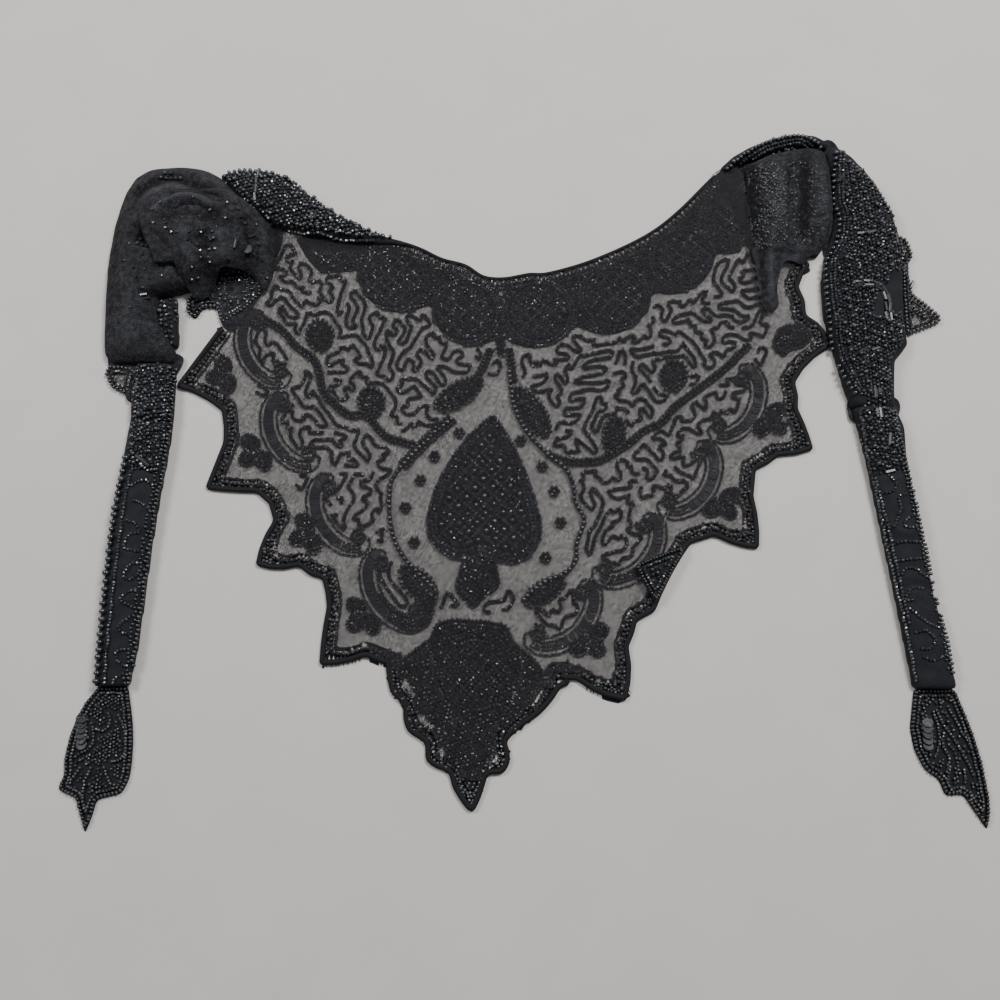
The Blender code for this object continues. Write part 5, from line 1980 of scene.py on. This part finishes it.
@dataclass
class LeftDrape(DrapedLayer):
    """The outermost net at the left: one soft layer over flap and lobe, down to the fold point."""

    piece_name: str = "draped_net_of_left_wing"
    edge: Places = (
        (-165.5, 104), (-161.5, 97.6), (-154.6, 91), (-151, 82.5), (-147.1, 75), (-142.8, 71.5), (-138, 75.5),
        (-133.2, 83), (-127.7, 84), (-121.8, 84), (-117, 79.5), (-113.9, 76), (-111.3, 84), (-111, 96.6),
        (-112.9, 105.1), (-121.9, 114.4), (-131, 120), (-144.6, 119.4), (-152, 119), (-160.9, 113.8))
    creases: tuple[Crease, ...] = (
        Crease(2.0, 1.8, ((-165, 101), (-160, 109), (-152, 114), (-145, 114.5), (-138, 111), (-131, 108))),
        Crease(-2.2, 3.0, ((-155, 104), (-148, 108), (-140, 107), (-131, 103.5))),
        Crease(-1.4, 1.6, ((-163, 108), (-156, 115.5), (-146, 118), (-136, 115), (-128, 111))),
        Crease(1.1, 2.0, ((-150, 103), (-147, 93), (-143, 80))),
        Crease(-1.0, 1.8, ((-142, 101), (-139, 92), (-139, 80))),
        Crease(1.0, 2.2, ((-134, 101), (-131, 93), (-130, 84))),
        Crease(-0.8, 1.8, ((-124, 108), (-121, 97), (-122, 86))),
        Crease(0.9, 2.0, ((-117, 106), (-114.5, 96), (-115, 82))))

    def grounds(self) -> list[BVHTree]:
        """Lobe and flap."""
        return [stretch.skin().tree for stretch in (LeftLobe(), LeftFlap())]

    def sew(self, outline: Outline, finishes: Finishes) -> Pieces:
        """A few seeds and bugles, and the sequin that glints through."""
        beads = Beading(self.seed, self, 0.2)
        seen = outline.lattice(3.4, 2.0, 17.0)
        seen = seen + beads.random.normal(0.0, 0.9, seen.shape)
        beads.scatter(seen[beads.random.uniform(size=len(seen)) < 0.3], 1.4)
        beads.bugles(((-125.5, 93.0, 80), (-119.0, 98.0, 20)), 3.6, 1.3)
        disc = Beading(self.seed + 1, self, 0.3)
        disc.sequins(np.array([(-121.5, 92.4), (-120.5, 91.6)]), 4.2, 2.0, 3.0)
        return [show(beads.mesh("beads_of_left_drape"), finishes.veiled, Slot.BEADS),
                show(disc.mesh("sequin_of_left_drape"), finishes.sequins, Slot.SEQUINS)]


@dataclass
class RightDrape(DrapedLayer):
    """The outermost net at the right: over the shoulder and the yoke's last round, with one hanging fold."""

    piece_name: str = "draped_net_of_right_shoulder"
    edge: Places = (
        (102.4, 137), (102.4, 120), (101.8, 98), (103.5, 92), (104.6, 81), (106, 70), (110, 66), (113.5, 70),
        (113, 78), (116, 88), (119, 91), (124.9, 88.5), (128, 92), (134, 97), (139, 104), (140, 118),
        (139, 135), (133, 141), (118, 140.5), (108, 138.5))
    creases: tuple[Crease, ...] = (
        Crease(-2.8, 2.3, ((105.6, 138), (104.8, 130), (104, 112), (103.4, 96))),
        Crease(-2.8, 2.4, ((129, 140), (127.5, 129), (127, 112), (125.5, 98))),
        Crease(1.0, 3.2, ((117, 138), (115.5, 120), (113, 98))),
        Crease(-0.8, 2.2, ((122, 139), (120.5, 124), (120, 108))),
        Crease(0.9, 2.6, ((134, 138), (135, 120), (134, 104))),
        Crease(1.6, 1.6, ((110.5, 104), (110.5, 88), (109.5, 69))),
        Crease(-1.2, 1.2, ((107.5, 102), (107, 86), (107.6, 70))),
        Crease(1.2, 2.0, ((124, 98), (122, 92), (118, 90))))
    base: float = 2.9
    reach: float = 0.6
    width: float = 2.0
    over: float = 0.45
    rim: float = 0.5
    seed: int = 385

    def grounds(self) -> list[BVHTree]:
        """The shoulder."""
        return [RightShoulder().skin().tree]

    def sew(self, outline: Outline, finishes: Finishes) -> Pieces:
        """The yoke's rounds and lattice, pressed through the net from below: close at the left."""
        beads = Beading(self.seed, self, -0.12)
        close = straight_outline([(103, 97), (112, 95), (119, 99), (120, 138), (108, 137), (103, 135)])
        loose = straight_outline([(120, 97), (126, 94), (138, 105), (138, 134), (132, 139), (120, 138)])
        for x, y in ((104, 121), (116, 105), (118, 132)):
            for radius in (12.0, 10.3):
                ring = round_outline(x, y, radius).loop
                beads.thread(ring[close.contains(ring)], 1.4, slack=0.2)
        for degrees in (48.0, 138.0):
            for line in hatch(close, 3.9, degrees, 0.6):
                beads.thread(line, 1.4, pitch=1.55, slack=0.2)
            for line in hatch(loose, 4.6, degrees, 0.6):
                beads.thread(line, 1.4, pitch=2.3, slack=0.35)
        return [show(beads.mesh("beads_of_right_drape"), finishes.dark, Slot.BEADS)]


@dataclass
class LeftNeckRoll(FoldedStretch):
    """The neck edge rolled over at the left, with its beaded face up."""

    node: str = "left_neck_roll"
    piece_name: str = "rolled_neck_edge_left"
    length: float = 92.0
    ripple: float = 0.2
    seed: int = 330

    def sew(self, beads: Beading) -> None:
        """Close mixed fill, a large row and a seed row along the lower edge, knobs along the upper edge."""
        beads.curve(((-110, 107), (-104, 105.5), (-100, 104.5), (-90, 103.5), (-80, 101), (-66, 100.4)), 1.6)
        beads.curve(((-105, 108.5), (-97, 107), (-88, 106), (-82, 104), (-75, 102.7), (-66, 102.3),
                     (-58, 101.6)),
                    2.3, pitch=3.0, cut=Cut.ROUND)
        outline = straight_outline((
            (-122, 112), (-108, 106.5), (-96, 105), (-84, 103), (-66, 101), (-55, 102), (-70, 108),
            (-84, 117), (-96, 128), (-108, 134), (-122, 135), (-134, 134), (-137, 127)))
        beads.fill(outline, 1.6, 0.4, pitch=1.9, large=0.16)
        beads.knobs(((-136, 131), (-128, 135), (-115, 135.5), (-104, 133), (-96, 128), (-86, 119),
                     (-76, 111.5)),
                    2.3, 2.9, 0.5)
        beads.bugle_arc(((-120, 118), (-120.5, 126), (-119.5, 135)), 4.2)
        beads.bugles(((-93, 111, 92), (-94.6, 111, 92)), 4.2)
        beads.place(np.array([[-113.0, 136.0]]), np.array([[1.0, 0.0]]), 3.4, Cut.ROUND)


@dataclass
class LeftStrip(FoldedStretch):
    """The narrow folded strip between the lobe and the strip's own point."""

    node: str = "left_strip"
    piece_name: str = "folded_strip_left"
    length: float = 24.0
    seed: int = 340

    def sew(self, beads: Beading) -> None:
        """Mixed beads, close at the sides."""
        outline = straight_outline([(-161, 50), (-152, 50), (-152, 72), (-161, 72)])
        beads.fill(outline, 1.7, 0.5, pitch=2.2, large=0.2)


@dataclass
class Tie(FoldedStretch):
    """A tie: a long band folded on itself, with rows of beads along it and wandering lines across it."""

    rows: tuple[Places, ...] = ()
    large_row: Places = ()
    knobbly: Places = ()
    wander: tuple[Places, ...] = ()
    dense: Places = ()
    bugle_rows: tuple[tuple[float, float, float], ...] = ()

    def sew(self, beads: Beading) -> None:
        """Rows, knobs, wandering lines, a close fill at the top, and a few bugles."""
        for row in self.rows:
            beads.curve(row, 1.5)
        if self.large_row:
            beads.curve(np.array(self.large_row) + [0.5, 0.0], 3.1, pitch=3.1, cut=Cut.ROUND)
        beads.knobs(np.array(self.knobbly) + [0.8, 0.0], 1.9, 2.2, 0.7)
        beads.knobs(np.array(self.knobbly) - [0.8, 0.0], 1.4, 2.1, 1.2)
        for line in self.wander:
            beads.curve(line, 1.35, pitch=1.4)
        region = straight_outline(self.dense)
        beads.fill(region, 1.4, 0.2, pitch=1.8)
        beads.scatter(region.lattice(3.9, 1.0, 38.0), 2.2, Cut.ROUND)
        beads.bugles(self.bugle_rows, 4.4)


LEFT_TIE = Tie(
    node="left_tie", piece_name="folded_tie_left", length=140.0, seed=350, ripple=0.3,
    creases=(Crease(-1.8, 1.3, ((-172, 17.5), (-162, 15), (-149, 15.5))),
             Crease(0.9, 1.6, ((-172, 21), (-149, 19.5))),
             Crease(-1.0, 1.6, ((-172, -8), (-162, -6), (-152, -9)))),
    rows=(((-165, -6), (-166.6, -18), (-168, -40), (-168.6, -62), (-169, -82), (-169.2, -96)),),
    large_row=((-168.4, 0), (-170.6, -18), (-171.9, -40), (-172.3, -62), (-172.5, -82), (-172.6, -96)),
    knobbly=((-152.7, 40), (-152.4, 20), (-153.4, 2), (-155.6, -18), (-157.3, -40), (-158.5, -62),
             (-159.7, -82),
             (-161.4, -96)),
    wander=(((-165, -14), (-160, -11.3), (-156, -13.7)), ((-164, -20), (-159.5, -21.5), (-156.5, -25)),
            ((-166, -28.5), (-161.6, -30), (-160, -33.7), (-164, -35), (-165.6, -40), (-161.6, -41.4),
            (-157.5, -42)), ((-158, -46.5), (-162, -47), (-164.6, -51.5), (-162.6, -53.5), (-158.6, -50.5)),
            ((-159, -57.5), (-162.5, -58.6), (-165, -61.7), (-160, -64.8)), ((-159.5, -67.5), (-164.6, -72),
            (-164, -74.8), (-160, -76)), ((-160, -82), (-164.6, -82.4), (-165.2, -85.6), (-163, -87.6),
            (-160.4, -88.6)), ((-161.5, -91.5), (-165, -93.5), (-166, -96))),
    dense=((-168.6, 41), (-168.4, 30), (-167.6, 18), (-168, -1), (-165, -7), (-154.5, -8), (-152.4, 18),
           (-152.4, 41)),
    bugle_rows=((-166.5, 31, 75), (-163, 18.5, -42), (-162, -2, -35), (-159.5, -4.2, -35)))
RIGHT_TIE = Tie(
    node="right_tie", piece_name="folded_tie_right", length=120.0, seed=360, ripple=0.3,
    creases=(Crease(-1.2, 1.6, ((143, -9), (152, -8), (163, -6))),
             Crease(0.8, 2.0, ((148, -28), (158, -34), (167, -32))),
             Crease(-0.8, 2.4, ((152, -60), (162, -56), (171, -60)))),
    rows=(((144.8, 20), (146.8, 0), (149.4, -20), (152.2, -45), (155.6, -70), (158.3, -95)),
          ((148.6, -10), (151, -24), (154.4, -50), (157, -72))),
    knobbly=((157.6, 20), (160.2, 0), (163, -20), (166.5, -45), (170, -70), (172.4, -92)),
    wander=(((157.5, -7.3), (153, -8.3), (156.4, -12.4), (155, -16), (150, -17)),
            ((162, -16), (156.8, -19), (157, -24), (153.5, -32)), ((163.6, -26.3), (160.4, -27.5),
            (158, -31.5), (163.6, -32)), ((151.5, -39), (158, -37.6), (164.5, -38.2)), ((154, -45.6),
            (159, -45.2), (165.5, -44.3)), ((155.5, -51.7), (156.9, -49.2), (160.6, -48.6), (165.5, -53)),
            ((163.8, -57.4), (159.1, -57), (156.4, -61.4), (159.5, -62)), ((157, -65), (163.4, -71),
            (169.4, -73.4)), ((158.5, -75.1), (163.2, -74.5), (166.4, -78), (164, -81.4), (160.4, -81.6)),
            ((160.5, -84.6), (165.3, -86.3), (171, -83.8))),
    dense=((143.6, 21), (145.4, 0), (147.4, -9), (161, -7), (160.4, 2), (158.4, 21)),
    bugle_rows=((151, 18, 95), (152.6, 18, 95), (154.5, -7.5, 8), (155, 6, 80)))


@dataclass
class RightNeckRoll(FoldedStretch):
    """The neck edge rolled over at the right, beaded face up."""

    node: str = "right_neck_roll"
    piece_name: str = "rolled_neck_edge_right"
    length: float = 52.0
    seed: int = 370

    def sew(self, beads: Beading) -> None:
        """Close fill, knobs along the outer edge, a seed row along the inner."""
        edge = np.array([
            (90.5, 133), (99.6, 139.8), (111, 146.2), (124.4, 150.2), (133.1, 148.8), (140.1, 144.8)])
        beads.knobs(edge + [-0.4, 1.1], 2.2, 2.4, 0.5)
        for drop, size in ((0.6, 1.5), (2.0, 1.5), (3.4, 1.6), (4.8, 1.5), (6.2, 1.5)):
            beads.curve(edge + [0.35 * drop, -0.94 * drop], size)


@dataclass
class RightShoulder(FoldedStretch):
    """The right shoulder, wrong side up: net in layers, in soft folds across the neck."""

    node: str = "right_shoulder"
    piece_name: str = "folded_net_of_right_shoulder"
    length: float = 54.0
    ripple: float = 0.3
    seed: int = 380
    layered: bool = True
    creases: tuple[Crease, ...] = (
        Crease(-3.6, 3.4, ((102.6, 142), (102.6, 120), (102.8, 94))),
        Crease(1.2, 3.0, ((114, 143), (113, 120), (112, 96))),
        Crease(-2.2, 2.2, ((129, 143), (127, 120), (126, 104), (124, 95))),
        Crease(0.9, 2.4, ((135, 143), (136, 120), (138, 104))),
        Crease(1.0, 1.0, ((130, 110), (136, 114), (142, 117))))


@dataclass
class RightWing(FoldedStretch):
    """The right wing, beaded face up: close seeds, bugle arcs and rows of large beads along the edge."""

    node: str = "right_wing"
    piece_name: str = "right_wing_cloth"
    length: float = 128.0
    ripple: float = 0.35
    seed: int = 390
    creases: tuple[Crease, ...] = (
        Crease(-0.9, 2.6, ((141, 146), (140, 128), (139, 108), (138, 90))),
        Crease(0.8, 3.0, ((150, 146), (156, 134), (166, 124))),
        Crease(-0.8, 2.4, ((140, 102), (152, 99), (166, 106))),
        Crease(0.7, 2.6, ((142, 84), (152, 82), (166, 84))),
        Crease(-0.7, 2.4, ((140, 52), (150, 48), (160, 50))))
    face: Places = (
        (142.7, 146.4), (147.3, 140.7), (154.1, 134.2), (160.5, 124.5), (166, 112.5), (169.5, 104.6),
        (171.9, 92.9), (170.4, 86.7), (170, 73.6), (169.1, 68.3), (166.8, 51), (160.8, 43.6), (158, 22),
        (143, 22), (134.7, 43.6), (133.5, 58.5), (132.5, 73.6), (134.5, 89), (139, 100.4), (141, 111.4),
        (140, 119.3), (141, 135.4))
    edge: Places = (
        (142.4, 144.5), (141.2, 135.4), (139.9, 119.3), (141.1, 111.4), (139.6, 100.4), (134.6, 90.3),
        (133.2, 80.3), (133, 72.7), (133.6, 57.6), (134.5, 46.5), (137.8, 36), (141.9, 26))

    def sew(self, beads: Beading) -> None:
        """A close fill of seeds with a grid of large beads, rows along the edge, bugle arcs, and knobs."""
        face = hand_outline(self.face)
        side = np.array(self.edge)
        beads.curve(side + [1.7, 0.0], 2.4, pitch=2.8, cut=Cut.ROUND)
        for shift in (3.6, 5.0):
            beads.curve(side + [shift, 0.0], 1.5)
        inner = face.moved_in(0.5)
        bare = straight_outline([(152, 62), (168, 66), (172, 86), (164, 84), (156, 74)])
        grid = inner.lattice(4.3, 3.6, 38.0) + beads.random.normal(0.0, 0.25, (1, 2))
        line = smooth_route(side)
        beads.fill(inner, 1.45, 0.8, pitch=1.7,
                   keep=lambda xy: outside_all(xy, [bare]) & (distance_to(xy, line) > 5.9))
        beads.seat = 0.5
        grid = grid[outside_all(grid, [bare]) & (distance_to(grid, line) > 6.5)]
        beads.scatter(grid, 2.2, Cut.ROUND)
        beads.seat = 0.28
        beads.bugle_arc(((143, 128), (148, 132), (155, 133.5)))
        beads.bugle_arc(((149, 102), (158, 103.5), (166, 112)))
        for shift in (0.0, 1.8):
            beads.bugle_arc(((145, 78 - shift), (155, 78 - shift), (160 - shift, 72), (161 - shift, 60)))
        beads.bugle_arc(((141, 48), (148, 46.5), (155, 48)))
        beads.bugles(((167, 100, 90), (165, 57, 88), (151, 27, 95), (152.7, 27, 95)), 4.4)
        beads.knobs(((148, 139), (156, 130), (162, 120), (166.5, 110)), 2.2, 2.9, 0.6)


class Gloss(Enum):
    """How strongly a point's beads glint: the name of their finish."""

    BRIGHT = "beads"
    MIDDLE = "veiled"
    DIM = "dark"


@dataclass
class FlatPoint:
    """A flat point of the collar's edge, beaded face up: its net, a rim of beads, and what is sewn inside."""

    node: str
    base: float
    seed: int
    windows: tuple[Places, ...] = ()
    rim_bead: float = 1.9
    fill_bead: float = 1.6
    pitch: float = 2.0
    rings: tuple[tuple[float, float, float, float], ...] = ()
    bugle_rows: tuple[tuple[float, float, float], ...] = ()
    sequin_lines: tuple[Places, ...] = ()
    sequin: float = 5.0
    bare: Places = ()
    large: float = 0.18
    lines: tuple[Places, ...] = ()
    netted: bool = False
    gloss: Gloss = Gloss.MIDDLE

    def build(self, finishes: Finishes) -> Pieces:
        """Make the point's net, beads and sequins."""
        outline = cad_outline(self.node)
        mesh = cloth_panel("cut_of_" + self.node, [outline], 1.6,
                           lambda xy: self.base + 0.1 * ripples(xy, 12.0, self.seed))
        net = show(mesh, finishes.net if self.netted else finishes.cloth, Slot.NET, self.node)
        lay(net)
        beads = Beading(self.seed, Level(self.base))
        beads.thread(outline.inset(0.9), self.rim_bead, cut=Cut.ROUND)
        beads.thread(outline.inset(2.7), 1.4)
        holes = [straight_outline(window) for window in self.windows]
        holes += [straight_outline(self.bare)] if self.bare else []
        for x, y, radius, size in self.rings:
            ring = round_outline(x, y, radius).loop
            beads.thread(ring, size, pitch=size * (1.3 if size > 1.8 else 0.95), cut=Cut.ROUND)
        for line in self.sequin_lines:
            holes.append(Outline(np.vstack([np.array(line) + [-1.8, 0], np.array(line)[::-1] + [1.8, 0]])))
        drawn = [smooth_route(line) for line in self.lines]
        for line in drawn:
            beads.thread(line, 1.4)
        beads.fill(outline, self.fill_bead, 3.8, self.pitch, self.large,
                   lambda xy: np.logical_and.reduce(
                       [outside_all(xy, holes), *(distance_to(xy, line) > 1.9 for line in drawn)]))
        if self.bugle_rows:
            beads.bugles(self.bugle_rows)
        glass = getattr(finishes, self.gloss.value)
        made = [net, show(beads.mesh("beads_of_" + self.node), glass, Slot.BEADS)]
        if self.sequin_lines:
            discs = Beading(self.seed + 5, Level(self.base))
            for line in self.sequin_lines:
                discs.sequins(smooth_route(line), self.sequin, 2.2, 14.0)
            made.append(show(discs.mesh("sequins_of_" + self.node), finishes.sequins, Slot.SEQUINS))
        return made


FLAT_POINTS = (
    FlatPoint("left_fold_point", 0.5, 400, rings=((-128, 79, 7.5, 2.2), (-128, 79, 5.2, 1.5)), fill_bead=1.4,
              bare=((-123.4, 79), (-124.7, 82.3), (-128, 83.6), (-131.3, 82.3), (-132.6, 79), (-131.3, 75.7),
                    (-128, 74.4), (-124.7, 75.7)),
              bugle_rows=((-138, 84, 80), (-138.6, 79.5, 88), (-138, 75, 100), (-122, 84.5, 90))),
    FlatPoint("left_strip_point", 0.5, 410, windows=(((-178, 32), (-173, 32), (-173, 39), (-177, 39)),),
              bugle_rows=((-171.5, 35, 85),), netted=True),
    FlatPoint("right_wing_edge", 0.5, 420, windows=(((172, 61), (179, 62), (174, 68)),), netted=True,
              pitch=1.7, bugle_rows=((174, 80, 70), (172, 88, 95)), gloss=Gloss.BRIGHT),
    FlatPoint("left_tip", 0.4, 430, fill_bead=1.2, rim_bead=1.6, pitch=1.5, large=0.04,
              sequin_lines=(((-178.4, -108), (-178.4, -114), (-177.4, -120.5)),), sequin=4.6,
              lines=(((-174.4, -110.7), (-173.4, -114.5), (-173, -118), (-174.6, -121), (-177.5, -122.5),
                      (-180, -124.5)),
                     ((-173, -113.4), (-170, -114), (-167.9, -112.8), (-167, -110), (-168.4, -107)),
                     ((-165.5, -126), (-162, -125.4), (-159.8, -122.5)), ((-164.1, -107.5), (-161.4, -112.4),
                     (-160, -119)), ((-177, -128), (-180, -132.5), (-181, -136), (-178, -136)), ((-173, -128),
                     (-175.5, -137), (-173.5, -146)), ((-168, -128), (-165, -134), (-162.5, -135))),
              gloss=Gloss.DIM),
    FlatPoint("right_tip", 0.4, 440, fill_bead=1.3, rim_bead=1.6, pitch=1.6, large=0.08,
              sequin_lines=(((162.2, -109.5), (161.8, -114.6), (161.4, -121)),), sequin=4.6,
              lines=(((163.7, -124.8), (166.1, -119), (166.2, -112), (164.6, -106)),
                     ((166, -105.5), (169, -112.4), (173, -119), (175.9, -124.8), (178.7, -131.6)),
                     ((168, -114.5), (167.6, -120.3), (169.4, -124.8), (167.4, -130.5)), ((169.6, -127.5),
                     (168, -133.8), (169.5, -137.5), (172.6, -137), (175, -133), (174.8, -128.5)),
                     ((176.4, -137.2), (176.6, -141.7), (178.8, -146.3)), ((171, -104), (174.5, -112.3),
                     (179, -121))),
              gloss=Gloss.DIM),
    FlatPoint("folded_point", 3.4, 450, pitch=2.2, fill_bead=1.4, rim_bead=1.4))


# ---------------------------------------------------------------- stage


@dataclass
class Studio:
    """Floor, soft lights, and the camera at the photograph's own angle."""

    eye: tuple[float, float, float] = (-0.010, -0.117, 0.4134)
    tilt: float = 13.4
    lens: float = 36.0
    key_power: float = 15.5
    fill_power: float = 8.0
    sky: float = 0.32

    def build(self) -> None:
        """Set up the stage."""
        self._floor()
        self._light("key", (0.45, 0.55, 1.0), 0.35, self.key_power)
        self._light("window", (-0.75, 0.45, 0.8), 0.35, self.fill_power)
        world = bpy.data.worlds.new("pale_room")
        world.use_nodes = True
        background = world.node_tree.nodes["Background"]
        background.inputs["Color"].default_value = linear("#E9EBEE")
        background.inputs["Strength"].default_value = self.sky
        bpy.context.scene.world = world
        data = bpy.data.cameras.new("camera")
        data.lens = self.lens
        data.sensor_width = 36.0
        data.sensor_fit = "HORIZONTAL"
        data.clip_start = 0.01
        camera = into_scene("camera", data)
        camera.location = self.eye
        camera.rotation_euler = (np.radians(self.tilt), 0.0, 0.0)
        bpy.context.scene.camera = camera

    def _floor(self) -> None:
        """A large level board just under the collar."""
        side = np.linspace(-2.0, 2.0, 9)
        x, y = np.meshgrid(side, side, indexing="ij")
        points = np.column_stack([x.ravel(), y.ravel(), np.full(x.size, -0.00005)])
        i, j = np.meshgrid(np.arange(8), np.arange(8), indexing="ij")
        first = (9 * i + j).ravel()
        corners = np.column_stack([first, first + 9, first + 10, first + 1])
        mesh = mesh_from_arrays("floor_board", points, corners.ravel(), np.full(len(corners), 4))
        mesh.materials.append(PaintedBoard().material())
        into_scene("floor_board", mesh)

    def _light(self, name: str, place: tuple[float, float, float], size: float, power: float) -> None:
        """A square soft light that faces the collar's middle."""
        data = bpy.data.lights.new(name, "AREA")
        data.shape = "SQUARE"
        data.size = size
        data.energy = power
        light = into_scene(name, data)
        light.location = place
        light.rotation_euler = (-Vector(place)).to_track_quat("-Z", "Y").to_euler()


def main() -> None:
    """Build the collar's sub-assemblies in order, and the stage."""
    logging.basicConfig(level=logging.INFO, format="%(name)s %(message)s")
    finishes = Finishes()
    Studio().build()
    assemblies = (
        BibNet(), ShadeSheet(), TuckedNet(), ZigzagBorder(), NeckEdge(), Yoke(), SpadeMotif(),
        SmallMotifs(), SequinScrolls(), PendantMedallion(), BeadLines(), LeftLobe(), LeftFlap(), LeftDrape(),
        LeftNeckRoll(), LeftStrip(), LEFT_TIE, RightNeckRoll(), RightShoulder(), RightDrape(), RightWing(),
        RIGHT_TIE, *FLAT_POINTS)
    for assembly in assemblies:
        assembly.build(finishes)


if __name__ == "__main__":
    main()
